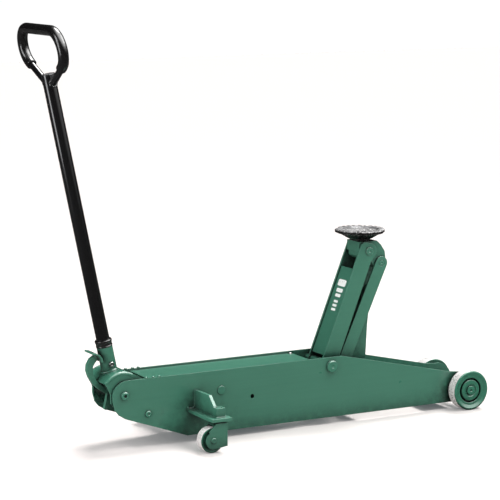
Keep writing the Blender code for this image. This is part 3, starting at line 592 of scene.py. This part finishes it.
for word, side in SIDES:
    node = "cover_screw_" + word
    centre, size = middle(node)
    low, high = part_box(node)
    screw_zinc = bare_metal("screw_zinc_" + word, ZINC, ZINC_DULL, centre, (0, 0, 1), 0.25)
    across = np.linspace(0.0, 1.0, 12)
    crown = 0.45 + 0.55 * np.sqrt(1 - across ** 2)
    dome = np.column_stack([across * size[0] / 2, low.z + size[2] * crown])
    dome = np.vstack([dome, [[size[0] / 2, low.z], [0.0, low.z]]])
    points = turned_points(dome, (centre[0], centre[1], 0), (0, 0, 1), 64)
    # The cross recess sinks the dome where either cross arm runs, and fades out towards the rim.
    from_middle = points - np.array([centre[0], centre[1], 0])
    arm = np.minimum(np.abs(from_middle[..., 0]), np.abs(from_middle[..., 1]))
    reach = np.hypot(from_middle[..., 0], from_middle[..., 1])
    sunk = (arm < 0.0007) & (reach < size[0] * 0.32) & (points[..., 2] > low.z + 0.0004)
    points[..., 2] -= np.where(sunk, 0.0012, 0.0)
    link_piece(node + "_head", grid_mesh(node + "_head", points), [screw_zinc],
               frame["nodes"][node].parent.name.split(":")[1], [node])

foot_centre = middle("link_foot_pin")[0]
pin_steel = bare_metal("pin_steel", ZINC, ZINC_DULL, foot_centre, (0, 1, 0), 0.35)


def plain_pin(name, node, made, dimple=0.0, corner=0.0012):
    """A straight pin along Y, as long and thick as its node, with small centre holes in its ends."""
    centre, size = middle(node)
    half, radius = size[1] / 2, size[0] / 2
    profile = [(0, half - dimple), (radius * 0.22, half - dimple * 0.9), (radius * 0.30, half),
               (radius, half), (radius, -half), (radius * 0.30, -half),
               (radius * 0.22, dimple * 0.9 - half), (0, dimple - half)]
    return turned_piece(name, profile, centre, (0, 1, 0), made, [node], corner=corner)


plain_pin("link_foot_rod", "link_foot_pin", pin_steel, 0.001)

# ---------- front wheels and axle ----------
# Cast wheels with a dished face round a broad hub. The faces are painted a brighter green than the
# chassis, and the treads are worn down to bare speckled metal. The axle's ends are painted with them.

WHEEL_GREEN = (0.032, 0.165, 0.104)
WHEEL_GREEN_DARK = (0.016, 0.092, 0.060)
TREAD = (0.86, 0.84, 0.83)
TREAD_GREY = (0.62, 0.60, 0.59)

# Its painted corner shade turns the dished recess round the hub dark.
wheel_enamel = enamel("wheel_enamel", WHEEL_GREEN, WHEEL_GREEN_DARK, (0.36, 0.42, 0.38), 0.22, 0.35)


def worn_tread():
    """Rolled bare metal: pale and smeared, with dark pits where paint and grime are left."""
    made, tree, shader, place = start_material("worn_tread")
    marks = use_group(tree, turning_marks, place, Centre=tuple(middle("front_axle")[0]), Axis=(0, 1, 0),
                      Fineness=420.0)
    tone = mix(tree, marks.outputs["Mask"], TREAD, TREAD_GREY)
    cluster = colour_ramp(tree, noise(tree, place, 26.0, 3.0, 0.5), [(0.46, 0.0), (0.60, 1.0)])
    pits = colour_ramp(tree, noise(tree, place, 300.0, 3.0, 0.65), [(0.52, 0.0), (0.60, 1.0)])
    spots = maths(tree, "MULTIPLY", cluster, pits)
    tree.links.new(mix(tree, spots, tone, (0.10, 0.12, 0.11)), shader.inputs["Base Color"])
    tree.links.new(maths(tree, "SUBTRACT", 0.25, maths(tree, "MULTIPLY", spots, 0.2), clamp=True),
                   shader.inputs["Metallic"])
    tree.links.new(colour_ramp(tree, marks.outputs["Height"], [(0.3, 0.30), (0.7, 0.52)]),
                   shader.inputs["Roughness"])
    depth = maths(tree, "SUBTRACT", marks.outputs["Height"], spots)
    bump(tree, depth, 0.00012, 0.7)
    return made


tread_metal = worn_tread()
wheel_centre, wheel_size = middle("front_wheel_right")
wheel_radius = wheel_size[2] / 2
wheel_in, wheel_out = sorted(abs(c.y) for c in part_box("front_wheel_right"))
BORE = AXLE_RADIUS + 0.0004
WHEEL_FACE = [(BORE, wheel_out - 0.0060), (0.0160, wheel_out - 0.0060), (0.0175, wheel_out - 0.0047),
              (0.0272, wheel_out - 0.0045), (0.0284, wheel_out - 0.0056), (0.0286, wheel_out - 0.0190),
              (0.0330, wheel_out - 0.0190), (0.0334, wheel_out - 0.0058), (0.0352, wheel_out - 0.0052),
              (0.0400, wheel_out - 0.0046), (0.0462, wheel_out - 0.0012), (0.0480, wheel_out),
              (wheel_radius - 0.0015, wheel_out - 0.0003)]
WHEEL_BACK = [(wheel_radius, wheel_out - 0.0022), (wheel_radius, wheel_in + 0.0018),
              (wheel_radius - 0.0018, wheel_in), (BORE, wheel_in)]
for word, side in SIDES:
    smooth = rounded(WHEEL_FACE + WHEEL_BACK, 0.0012, True)
    between = (smooth + np.roll(smooth, -1, axis=0)) / 2
    on_tread = (between[:, 0] > wheel_radius - 0.0004) & (between[:, 1] < wheel_out - 0.0045)
    points = turned_points(smooth, (wheel_centre[0], 0, wheel_centre[2]), (0, side, 0), 128)
    # One long face crosses the tread, so a row is added where the paint on the shoulder ends.
    mesh = grid_mesh("front_wheel_" + word + "_casting", points, True, on_tread.astype(int))
    link_piece("front_wheel_" + word + "_casting", mesh, [wheel_enamel, tread_metal], "front_wheel_" + word,
               ["front_wheel_" + word])
plain_pin("front_axle_bar", "front_axle", wheel_enamel, 0.0022, 0.0016)

# ---------- casters ----------
# Each rear corner has a bracket welded to the side plate, with a square bush for the swivel stem. The
# fork is bent from 4 mm plate and riveted through the wheel; weld beads run along every joint.


def swept_points(path, radii, up, sides=12, loop=False):
    """Around path point i runs a circle of radius i, square to the path: the point at angle j is the
    path point plus the radius times (cosine j, sine j) along two directions square to the path."""
    path = np.asarray(path, float)
    along = (np.roll(path, -1, axis=0) - np.roll(path, 1, axis=0)) if loop else np.gradient(path, axis=0)
    along /= np.linalg.norm(along, axis=1, keepdims=True)
    side = np.cross(np.asarray(up, float), along)
    side /= np.linalg.norm(side, axis=1, keepdims=True)
    other = np.cross(along, side)
    angle = np.linspace(0.0, 2 * np.pi, sides, endpoint=False)[None, :, None]
    ring = np.cos(angle) * side[:, None] + np.sin(angle) * other[:, None]
    return path[:, None] + np.asarray(radii, float)[:, None, None] * ring


def weld_bead(name, corners, radius, up, body, made=bolt_enamel, loop=False):
    """A run of weld along straight stretches between corners: its radius swells with each puddle, and a
    slow seeded wobble thickens and thins it."""
    corners = np.asarray(corners, float)
    if loop:
        corners = np.vstack([corners, corners[:1]])
    stretch = np.linalg.norm(np.diff(corners, axis=0), axis=1)
    reached = np.concatenate([[0.0], np.cumsum(stretch)])
    count = int(reached[-1] / (radius * 0.35)) + 8
    where = np.linspace(0.0, reached[-1], count, endpoint=not loop)
    path = np.column_stack([np.interp(where, reached, corners[:, k]) for k in range(3)])
    draw = np.random.default_rng(len(name) * 17 + count)
    slow = np.interp(where, np.linspace(0, reached[-1], 12), draw.normal(0.0, 0.10, 12))
    puddle = 0.12 * np.abs(np.sin(where / (radius * 1.5) * np.pi))
    radii = radius * (0.92 + puddle + slow)
    if not loop:
        ends = np.minimum(where, reached[-1] - where) / (radius * 1.2)
        radii = radii * np.sqrt(np.clip(ends * (2 - np.minimum(ends, 1.0)), 0.0, 1.0))
    mesh = grid_mesh(name, swept_points(path, radii, up, 10, loop), loop)
    return link_piece(name, mesh, [made], body, [])


BUSH_HALF = 0.0122
for word, side in SIDES:
    bracket = "caster_bracket_" + word
    dress(bracket, green_enamel, edge=0.0008)
    dress("caster_fork_" + word, green_enamel, edge=0.0007)
    low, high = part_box(bracket)
    face = side * (plate_face + 0.0006)
    weld_bead("bracket_weld_top_" + word, [(low.x + 0.002, face, 0.0868), (high.x - 0.002, face, 0.0868)],
              0.0026, (0, 0, 1), "chassis")
    weld_bead("bracket_weld_under_" + word, [(low.x + 0.002, face, low.z + 0.0004),
                                              (high.x - 0.002, face, low.z + 0.0004)],
              0.0022, (0, 0, 1), "chassis")
    for k, (x, z) in enumerate(((low.x + 0.0230, high.z - 0.0030), (low.x + 0.0030, 0.0885),
                                (low.x + 0.0180, 0.0890))):
        weld_bead("bracket_tack_%s_%d" % (word, k), [(x - 0.003, face, z), (x + 0.003, face, z)], 0.0046,
                  (0, 0, 1), "chassis")
    for k, x in enumerate((low.x + 0.0210, low.x + 0.0290)):
        weld_bead("gusset_weld_%s_%d" % (word, k), [(x, face, 0.088), (x, face, high.z - 0.003)], 0.0018,
                  (0, 1, 0), "chassis")
    bush_y = middle("caster_fork_" + word)[0][1]
    square = ((-1, -1), (1, -1), (1, 1), (-1, 1))
    stem_x = next(j for j in frame["joints"] if j["name"] == "caster_swivel_" + word)["pos_m"][0]
    weld_bead("bush_weld_" + word,
              [(stem_x + BUSH_HALF * x, bush_y + BUSH_HALF * y, 0.0872) for x, y in square],
              0.0016, (0, 0, 1), "chassis", loop=True)

    eye = middle("caster_wheel_" + word)[0]
    caster_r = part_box("caster_wheel_" + word)[1].z / 2
    half = middle("caster_wheel_" + word)[1][1] / 2
    face_profile = [(0.0064, half), (0.012, half), (0.0135, half - 0.0025), (0.0255, half - 0.0025),
                    (0.0270, half), (caster_r - 0.001, half), (caster_r, half - 0.0012)]
    profile = face_profile + [(r, -h) for r, h in reversed(face_profile)]
    smooth = rounded(profile, 0.0010, True)
    between = (smooth + np.roll(smooth, -1, axis=0)) / 2
    on_tread = between[:, 0] > caster_r - 0.0006
    mesh = grid_mesh("caster_roller_" + word, turned_points(smooth, eye, (0, side, 0), 96), True,
                     on_tread.astype(int))
    link_piece("caster_roller_" + word, mesh, [wheel_enamel, tread_metal], "caster_wheel_" + word,
               ["caster_wheel_" + word])
    low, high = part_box("caster_axle_" + word)
    reach = (high.y - low.y) / 2
    rivet = [(0, reach - 0.0004), (0.003, reach), (0.0062, reach), (0.008, reach - 0.0014),
             (0.008, reach - 0.0022), (0.006, reach - 0.0022), (0.006, 0.0010 - reach),
             (0.0045, 0.0002 - reach), (0, -reach)]
    turned_piece("caster_rivet_" + word, rivet, eye, (0, side, 0), green_enamel,
                 ["caster_axle_" + word], corner=0.0007)

plate_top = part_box("cover_plate")[1].z + 0.0053
for word, side in SIDES:
    for k, x in enumerate((-0.372, -0.352, -0.336)):
        weld_bead("plate_tack_%s_%d" % (word, k),
                  [(x, side * (plate_face - 0.0030), plate_top),
                   (x + 0.008, side * (plate_face - 0.0040), plate_top)],
                  0.0030, (0, 0, 1), "chassis")

# ---------- handle yoke ----------
# The yoke is a folded hood that swings on two bolts, with the handle's socket welded on top. A roller in
# its near cheek pushes the pump, a set screw holds the handle, and a black collar tops the socket.

twist = next(j for j in frame["joints"] if j["name"] == "handle_twist")
PIVOT = np.array(twist["pos_m"])
HANDLE_AXIS = np.array(twist["axis"])
HANDLE_AXIS = HANDLE_AXIS / np.linalg.norm(HANDLE_AXIS)
LEAN_SIN, LEAN_COS = abs(HANDLE_AXIS[0]), HANDLE_AXIS[2]
HANDLE_ACROSS = np.array([LEAN_COS, 0.0, LEAN_SIN])


def handle_span(node):
    """Lowest and highest distance from the pivot along the handle of a round node, and its radius."""
    low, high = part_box(node)
    radius = (high.y - low.y) / 2
    tip = radius * LEAN_SIN
    return (low.z - PIVOT[2] + tip) / LEAN_COS, (high.z - PIVOT[2] - tip) / LEAN_COS, radius


def on_handle(across, y, along):
    """Row-frame points from distances across, sideways and along the handle."""
    across, y, along = np.broadcast_arrays(across, y, along)
    points = PIVOT + across[..., None] * HANDLE_ACROSS + along[..., None] * HANDLE_AXIS
    points[..., 1] += y
    return points


# The yoke's deep painted shade starts sooner, so the inside of its hood goes nearly black.
yoke_enamel = enamel("yoke_enamel", ENAMEL, ENAMEL_DARK, PRIMER_GREY, gloss=0.22, inside=(0.22, 0.46))
dress("handle_yoke", yoke_enamel, edge=0.0015, segments=3)

# The hood's two edges are rolled into a bead that runs over the top from behind to the cover.
HOOD_RADIUS = 0.0575
HOOD_BEAD = 0.0052
hood_turn = np.radians(np.linspace(147.0, 58.0, 40))
hood_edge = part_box("handle_yoke")[1].y - 0.0035
for word, side in SIDES:
    bead_path = np.column_stack([(HOOD_RADIUS - 0.0037) * np.cos(hood_turn), np.full(40, side * hood_edge),
                                 (HOOD_RADIUS - 0.0037) * np.sin(hood_turn)]) + PIVOT
    ends = np.clip(np.minimum(np.arange(40), 39 - np.arange(40)) / 2.0, 0.0, 1.0)
    mesh = grid_mesh("hood_roll_" + word, swept_points(bead_path, HOOD_BEAD * np.sqrt(ends), (0, 1, 0), 24))
    link_piece("hood_roll_" + word, mesh, [bolt_enamel], "yoke", [])
SOCKET_RADIUS = 0.020
turn = np.linspace(0.0, 2 * np.pi, 73)[:-1]
saddle_across = (SOCKET_RADIUS + 0.0004) * np.cos(turn)
socket_foot = on_handle(saddle_across, (SOCKET_RADIUS + 0.0004) * np.sin(turn),
                        np.sqrt(HOOD_RADIUS ** 2 - saddle_across ** 2) + 0.0004)
weld_bead("socket_weld", socket_foot, 0.0030, HANDLE_AXIS, "yoke", loop=True)

BLACK = (0.0030, 0.0030, 0.0034)


def gloss_black(name, light, dark, roughness, wear, peel):
    """Black baked enamel or dipped rubber: deep gloss with drifting smears and grey rubbed edges."""
    made, tree, shader, place = start_material(name)
    coat = use_group(tree, sprayed_coat, place, Light=(*light, 1.0), Dark=(*dark, 1.0), Gloss=roughness)
    edge = use_group(tree, worn_edge, place, Reach=0.0008, Amount=wear)
    tree.links.new(mix(tree, edge.outputs["Mask"], coat.outputs["Color"], (0.22, 0.22, 0.22)),
                   shader.inputs["Base Color"])
    tree.links.new(coat.outputs["Roughness"], shader.inputs["Roughness"])
    shader.inputs["Coat Weight"].default_value = 0.5
    shader.inputs["Coat Roughness"].default_value = roughness * 0.5
    bump(tree, coat.outputs["Height"], peel, 0.6)
    return made


collar_black = gloss_black("collar_black", (0.008, 0.0078, 0.008), (0.02, 0.019, 0.019), 0.26, 0.8, 0.00005)
low, high, radius = handle_span("handle_collar")
tube_low, tube_high, tube_radius = handle_span("handle_tube")
bore = tube_radius + BORE_PLAY
turned_piece("collar_ring", [(bore, high), (radius - 0.0005, high), (radius, high - 0.0020),
                             (radius, high - 0.0060), (radius - 0.0012, high - 0.0072),
                             (radius - 0.0012, low + 0.0030),
                             (radius - 0.0004, low + 0.0016), (radius - 0.0004, low), (bore, low)],
             PIVOT, HANDLE_AXIS, collar_black, ["handle_collar"], corner=0.0009, closed=True,
             steps=96)

screw_centre, screw_size = middle("retaining_screw")
screw_steel = bare_metal("screw_steel", ZINC, ZINC_DULL, screw_centre, (0, 1, 0), 0.22)
reach = screw_size[1] / 2
turned_piece("set_screw", [(0, reach - 0.0022), (0.0028, reach - 0.0022), (0.0030, reach), (0.0052, reach),
                           (0.0059, reach - 0.0008), (0.0059, -reach), (0, -reach)],
             screw_centre, (0, -1, 0), screw_steel, ["retaining_screw"], corner=0.0004)
roller_steel = bare_metal("roller_steel", ZINC, ZINC_DULL, middle("yoke_roller")[0], (0, 1, 0), 0.30)
collar_ring("pump_roller", "yoke_roller", -1.0, 0.0044, roller_steel, 0.0008)
plain_pin("pump_roller_pin", "yoke_roller_pin", roller_steel, 0.0)

# ---------- handle and grip ----------
# A long black steel tube, open at the top. A bent rod is welded on as a D grip, and a thick glossy sleeve
# is dipped over its rounded corners and crossbar.

tube_black = gloss_black("tube_black", BLACK, (0.007, 0.007, 0.0075), 0.18, 0.5, 0.00004)
sleeve_black = gloss_black("sleeve_black", (0.004, 0.0038, 0.004), (0.010, 0.0095, 0.0095), 0.24, 0.0,
                           0.00006)
TUBE_WALL = 0.0032
turned_piece("handle_pipe", [(tube_radius - TUBE_WALL, tube_high), (tube_radius, tube_high),
                             (tube_radius, tube_low), (tube_radius - TUBE_WALL, tube_low)],
             PIVOT, HANDLE_AXIS, tube_black, ["handle_tube"], corner=0.0008,
             closed=True, steps=96)

# A mid grey disc shuts the tube's top; its grey is a painted sheen, standing in for overhead light caught
# there.
cap_grey = gloss_black("cap_grey", (0.16, 0.16, 0.16), (0.09, 0.09, 0.09), 0.30, 0.5, 0.00006)
cap_reach = tube_radius - 0.0012
turned_piece("pipe_cap", [(0, tube_high + 0.0006), (cap_reach * 0.6, tube_high + 0.0004),
                          (cap_reach, tube_high - 0.0002), (tube_radius - TUBE_WALL, tube_high - 0.0012),
                          (0, tube_high - 0.0012)],
             PIVOT, HANDLE_AXIS, cap_grey, [], body="handle", corner=0.0004)

ROD_RADIUS = 0.0085
SLEEVE_RADIUS = 0.0130
GRIP_BEND = 0.047
grip_half = middle("grip_rod")[1][1] / 2
BEND_Y = grip_half - ROD_RADIUS - GRIP_BEND + 0.0002
BEND_HEIGHT = 0.873
LEG_SLOPE = math.radians(-60.0)


def grip_line(leg_y, step=0.0015):
    """The grip's centre line from one leg to the other, in (sideways, along) distances.

    A straight leg leaves at the slope, an arc of the bend radius turns it square, the crossbar joins
    the mirror image; the stretches are then read at even steps."""
    turn = np.linspace(LEG_SLOPE, math.pi / 2, 24)
    bend = np.column_stack([BEND_Y + GRIP_BEND * np.cos(turn), BEND_HEIGHT + GRIP_BEND * np.sin(turn)])
    rise = math.tan(math.pi / 2 + LEG_SLOPE)
    leg = np.array([[leg_y, bend[0, 1] - (bend[0, 0] - leg_y) * rise]])
    half = np.vstack([leg, bend])
    line = np.vstack([half, half[::-1] * (-1, 1)])
    reached = np.concatenate([[0], np.cumsum(np.linalg.norm(np.diff(line, axis=0), axis=1))])
    where = np.linspace(0, reached[-1], int(reached[-1] / step))
    return np.column_stack([np.interp(where, reached, line[:, k]) for k in range(2)]), where


def capped(where, radius, edge):
    """Radius along a rod whose ends are rounded over the given edge, down to nothing at the tips."""
    near = np.minimum(where, where[-1] - where) / edge
    return radius * np.sqrt(np.clip(1 - (1 - np.minimum(near, 1.0)) ** 2, 0.0, 1.0))


rod_line, where = grip_line(tube_radius + 0.0060)
path = on_handle(0.0, rod_line[:, 0], rod_line[:, 1])
mesh = grid_mesh("grip_bar", swept_points(path, capped(where, ROD_RADIUS, 0.002), HANDLE_ACROSS, 32))
link_piece("grip_bar", mesh, [tube_black], "handle", ["grip_rod"])


def sleeve_mesh():
    """The sleeve is a tube on the grip line: out along the line on its outer skin, back on its bore."""
    line, along = grip_line(0.0885)
    middle_line = on_handle(0.0, line[:, 0], line[:, 1])
    outer = ROD_RADIUS + 0.0004 + capped(along + 0.0003, SLEEVE_RADIUS - ROD_RADIUS - 0.0004, 0.0035)
    outer[-1] = outer[0]
    skin = swept_points(middle_line, outer, HANDLE_ACROSS, 40)
    inside = swept_points(middle_line, np.full(len(line), ROD_RADIUS + 0.0003), HANDLE_ACROSS, 40)[::-1]
    return grid_mesh("grip_cover", np.concatenate([skin, inside]), wrap_rows=True)


link_piece("grip_cover", sleeve_mesh(), [sleeve_black], "handle", ["grip_sleeve"])
leg_end, leg_next = rod_line[0], rod_line[8]
leg_slope = (leg_next - leg_end) / np.linalg.norm(leg_next - leg_end)
for word, side in SIDES:
    hub = leg_end - leg_slope * 0.0025
    spin = np.linspace(0.0, 2 * np.pi, 41)[:-1]
    bead_y = hub[0] + np.sin(spin) * ROD_RADIUS * 1.02 * -leg_slope[1]
    bead_along = hub[1] + np.sin(spin) * ROD_RADIUS * 1.02 * leg_slope[0]
    bead = on_handle(np.cos(spin) * ROD_RADIUS * 1.02, side * bead_y, bead_along)
    weld_bead("grip_weld_" + word, bead, 0.0026, (0, 1, 0.3), "handle", tube_black, loop=True)

# ---------- foot pedal ----------
# A curved arm of plate with a bent foot plate across its top.

dress("pedal_arm", green_enamel, edge=0.0014, segments=3)
dress("pedal_plate", green_enamel, edge=0.0008)

# ---------- lift arm ----------
# Two deep side plates joined by a bent web along the rear edge, turning on the arm shaft. A plain
# three-bar mark is stencilled on the web. The crank roller below is pushed by the ram.

for word, side in SIDES:
    dress("arm_plate_" + word, arm_side_enamel, edge=0.0012, segments=3)
dress("arm_web", arm_enamel, edge=0.0008)

lift = next(j for j in frame["joints"] if j["name"] == "arm_lift")
ARM_PIVOT = np.array(lift["pos_m"])
ARM_TILT = math.radians(68.3)
ARM_ALONG = np.array([math.cos(ARM_TILT), 0.0, math.sin(ARM_TILT)])
ARM_BACK = np.array([-math.sin(ARM_TILT), 0.0, math.cos(ARM_TILT)])
WEB_BACK = 0.0114
PAINT_GAP = 0.00015

STENCIL = (0.92, 0.93, 0.92)


def stencil_paint():
    """Thin white stencil paint, worn through to the green in small flecks."""
    made, tree, shader, place = start_material("stencil_white")
    flecks = colour_ramp(tree, noise(tree, place, 420.0, 4.0, 0.7), [(0.60, 0.0), (0.68, 1.0)])
    tone = mix(tree, noise(tree, place, 40.0), STENCIL, (0.80, 0.82, 0.80))
    tree.links.new(mix(tree, flecks, tone, ENAMEL), shader.inputs["Base Color"])
    tree.links.new(colour_ramp(tree, flecks, [(0.0, 0.45), (1.0, 0.30)]), shader.inputs["Roughness"])
    bump(tree, flecks, 0.00003, 0.5)
    return made


stencil_white = stencil_paint()


def stencil_bar(name, along, length, half_width, thick=0.00012):
    """A flat bar with round corners on the web: a superellipse outline shrunk to nothing on each face."""
    turn = np.linspace(0.0, 2 * np.pi, 64, endpoint=False)
    power = 0.35
    y = half_width * np.sign(np.cos(turn)) * np.abs(np.cos(turn)) ** power
    s = length / 2 * np.sign(np.sin(turn)) * np.abs(np.sin(turn)) ** power
    rows = []
    for scale, lift_off in ((0.0, thick), (0.985, thick), (1.0, 0.0), (0.0, 0.0)):
        height = WEB_BACK + PAINT_GAP + lift_off
        point = ARM_PIVOT + (along + s[:, None] * scale) * ARM_ALONG + height * ARM_BACK
        point[:, 1] += y * scale
        rows.append(point)
    return link_piece(name, grid_mesh(name, np.array(rows)), [stencil_white], "lift_arm", [])


STENCIL_BARS = ((0.2150, 0.0180, 0.0190), (0.1945, 0.0105, 0.0150), (0.1805, 0.0085, 0.0125),
                (0.1640, 0.0065, 0.0100), (0.1530, 0.0065, 0.0100), (0.1420, 0.0065, 0.0100))
for k, (along, length, half_width) in enumerate(STENCIL_BARS):
    stencil_bar("stencil_bar_%d" % k, along, length, half_width)

crank_steel = bare_metal("crank_steel", ZINC, ZINC_DULL, middle("crank_roller")[0], (0, 1, 0), 0.32)
collar_ring("crank_wheel", "crank_roller", 1.0, 0.0064, crank_steel, 0.0012)
plain_pin("crank_rod", "crank_pin", crank_steel, 0.0008)

# ---------- head and link ----------
# The cast head hangs between the arm plates on a broad pin and is kept level by the link in front: two
# round-ended bars with a web between them, pinned to the head above and to the anchor below.

dress("head_block", green_enamel, edge=0.0014, segments=3)
for word, side in SIDES:
    dress("link_bar_" + word, green_enamel, edge=0.0010, segments=3)
dress("link_web", green_enamel)

HEAD_PIN_SHANK = 0.010
pin_low, pin_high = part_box("head_pin")
pin_head = (pin_high.x - pin_low.x) / 2
through_pin("head_pin_bolt", "head_pin", -1.0, -pin_high.y, -pin_low.y, HEAD_PIN_SHANK, pin_head,
            green_enamel, seat=0.0373)
cap_low, cap_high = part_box("head_pin_cap")
turned_piece("head_pin_plug", [(0, cap_high.y - 0.0006), (0.004, cap_high.y),
                               (pin_head - 0.0014, cap_high.y), (pin_head, cap_high.y - 0.0014),
                               (pin_head, cap_low.y), (0, cap_low.y)],
             (middle("head_pin_cap")[0][0], 0, middle("head_pin_cap")[0][2]), (0, 1, 0), green_enamel,
             ["head_pin_cap"])
plain_pin("link_top_rod", "link_top_pin", green_enamel, 0.0009)

# ---------- saddle ----------
# A cast-iron cup, left dark: a raised and notched rim round a cross-cut floor, on a short stub that turns
# in the head. Its rim is rubbed bright by use.

saddle_low, saddle_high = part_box("saddle")
saddle_x = (saddle_low.x + saddle_high.x) / 2
saddle_radius = (saddle_high.y - saddle_low.y) / 2
rim, base = saddle_high.z, saddle_low.z
SADDLE_SIDE = [(0.0, rim - 0.0050), (0.0440, rim - 0.0050), (0.0490, rim - 0.0012), (0.0520, rim - 0.0002),
               (0.0615, rim - 0.0001), (saddle_radius - 0.0004, rim - 0.0032), (saddle_radius, rim - 0.0050),
               (saddle_radius - 0.0008, rim - 0.0098), (0.0520, rim - 0.0140), (0.0330, rim - 0.0252),
               (0.0265, rim - 0.0254), (0.0255, rim - 0.0310),
               (0.0138, rim - 0.0312), (0.0138, base + 0.001), (0.0, base + 0.001)]


def cast_metal(name, light, dark, bright, roughness):
    """Sand-cast iron: a coarse grain and pits in relief, dark skin, and bright metal on rubbed edges."""
    made, tree, shader, place = start_material(name)
    grain = noise(tree, place, 240.0, 5.0, 0.7)
    pits = add_node(tree, "ShaderNodeTexVoronoi", Scale=520.0)
    tree.links.new(place, pits.inputs["Vector"])
    cloud = noise(tree, place, 45.0, 4.0, 0.6)
    edge = use_group(tree, worn_edge, place, Reach=0.0022, Amount=1.0)
    # Painted shade: corners and gaps within 1.5 cm go nearly black.
    corner_shading = use_group(tree, corner_dirt, place, Reach=0.015, Amount=0.7)
    tone = mix(tree, colour_ramp(tree, cloud, [(0.38, 0.0), (0.62, 1.0)]), light, dark)
    tone = mix(tree, corner_shading.outputs["Mask"], tone, (0.008, 0.008, 0.008))
    tone = mix(tree, edge.outputs["Mask"], tone, bright)
    tree.links.new(tone, shader.inputs["Base Color"])
    tree.links.new(maths(tree, "ADD", maths(tree, "MULTIPLY", edge.outputs["Mask"], 0.5), 0.45, clamp=True),
                   shader.inputs["Metallic"])
    tree.links.new(colour_ramp(tree, grain, [(0.3, roughness - 0.14), (0.7, roughness + 0.14)]),
                   shader.inputs["Roughness"])
    height = maths(tree, "ADD", grain, maths(tree, "MULTIPLY", pits.outputs["Distance"], 0.5))
    bump(tree, height, 0.0005, 0.55)
    return made


saddle_iron = cast_metal("saddle_iron", (0.15, 0.15, 0.153), (0.028, 0.028, 0.029),
                         (0.60, 0.59, 0.58), 0.58)
saddle_skin = cast_metal("saddle_skin", (0.012, 0.012, 0.0125), (0.004, 0.004, 0.004),
                         (0.85, 0.84, 0.83), 0.24)


def evenly(profile, step):
    """A profile read at even steps of its length, its own corners kept."""
    reached = np.concatenate([[0], np.cumsum(np.linalg.norm(np.diff(profile, axis=0), axis=1))])
    where = np.union1d(reached, np.arange(0, reached[-1], step))
    return np.column_stack([np.interp(where, reached, profile[:, k]) for k in range(2)])


def saddle_points():
    """The turned cup, changed over the grid: the floor rises and falls as the product of two cosines, the
    rim dips at even teeth, and four round notches pull the edge in."""
    side_line = evenly(rounded(SADDLE_SIDE, 0.0012), 0.0011)
    points = turned_points(side_line, (saddle_x, 0.0, 0.0), (0, 0, 1), 288)
    away = points - np.array([saddle_x, 0.0, 0.0])
    radius = np.hypot(away[..., 0], away[..., 1])
    angle = np.arctan2(away[..., 1], away[..., 0])
    on_top = away[..., 2] > rim - 0.0056
    floor_part = on_top & (radius < 0.0435)
    wave = np.cos(away[..., 0] * 2 * np.pi / 0.0085) * np.cos(away[..., 1] * 2 * np.pi / 0.0085)
    sink = np.where(floor_part, 0.0011 * (1 - np.clip(wave * 3.0, -1, 1)) / 2, 0.0)
    teeth = np.clip(np.cos(angle * 24) * 4.0, -1, 1)
    on_rim = on_top & (radius > 0.0500) & (radius < saddle_radius - 0.001)
    sink = np.where(on_rim, 0.0014 * (1 - teeth) / 2, sink)
    notch = np.exp(-(((angle - np.pi / 4 + np.pi / 4) % (np.pi / 2) - np.pi / 4) / 0.135) ** 4)
    pull = notch * np.clip((radius - 0.048) / 0.012, 0.0, 1.0) * 0.0060
    facet = np.pi / 19
    flat_side = 1 - np.cos(facet) / np.cos(angle % (2 * facet) - facet)
    pull += radius * flat_side * (away[..., 2] < rim - 0.0028) * (radius > 0.060)
    shrink = (radius - pull) / np.maximum(radius, 1e-9)
    away[..., 0] *= shrink
    away[..., 1] *= shrink
    lumps = np.sin(angle * 9 + 0.6) * 0.5 + np.sin(angle * 23 + 1.9) * 0.5
    edge_part = np.clip((radius - 0.058) / 0.006, 0.0, 1.0) * (away[..., 2] < rim - 0.0020)
    away[..., 0] -= edge_part * (1 + lumps) * 0.0007 * np.cos(angle)
    away[..., 1] -= edge_part * (1 + lumps) * 0.0007 * np.sin(angle)
    away[..., 2] -= sink
    return away + np.array([saddle_x, 0.0, 0.0])


cup = saddle_points()
cup_reach = np.hypot(cup[..., 0] - saddle_x, cup[..., 1]).mean(axis=1)
below_edge = (cup[..., 2].mean(axis=1) < rim - 0.0062) | (cup_reach > 0.0645)
link_piece("saddle_cup", grid_mesh("saddle_cup", cup, tags=below_edge.astype(int)),
           [saddle_iron, saddle_skin], "saddle", ["saddle"])

# ---------- hydraulic unit ----------
# The pump block, oil tank and ram lie low between the side plates. Block, tank and gland are dark cast and
# painted parts; the ram, pump piston and release valve are ground steel.

block_iron = cast_metal("block_iron", (0.040, 0.042, 0.042), (0.018, 0.019, 0.019),
                        (0.20, 0.20, 0.20), 0.55)
dress("pump_block", block_iron, edge=0.0016, segments=3)
ram_line = middle("reservoir_tube")[0]


def tank_piece(name, node, bore, made, corner):
    """A plain tube along X, as long and wide as its node."""
    centre, size = middle(node)
    half, radius = size[0] / 2, size[1] / 2
    profile = [(bore, half), (radius, half), (radius, -half), (bore, -half)]
    return turned_piece(name, profile, centre, (1, 0, 0), made, [node], corner=corner,
                        closed=True, steps=96)


ram_steel = bare_metal("ram_steel", (0.68, 0.68, 0.67), (0.46, 0.46, 0.45), ram_line, (1, 0, 0),
                       0.22, 500.0)
tank_piece("oil_tank", "reservoir_tube", 0.044, block_iron, 0.0010)
tank_piece("oil_cylinder", "cylinder_tube", 0.030, ram_steel, 0.0008)
tank_piece("gland_nut", "cylinder_gland", 0.0164, block_iron, 0.0022)
dress("ram", ram_steel, edge=0.0007)
dress("pump_piston", ram_steel, edge=0.0005)
dress("release_valve", ram_steel, edge=0.0005)

bpy.context.view_layer.update()
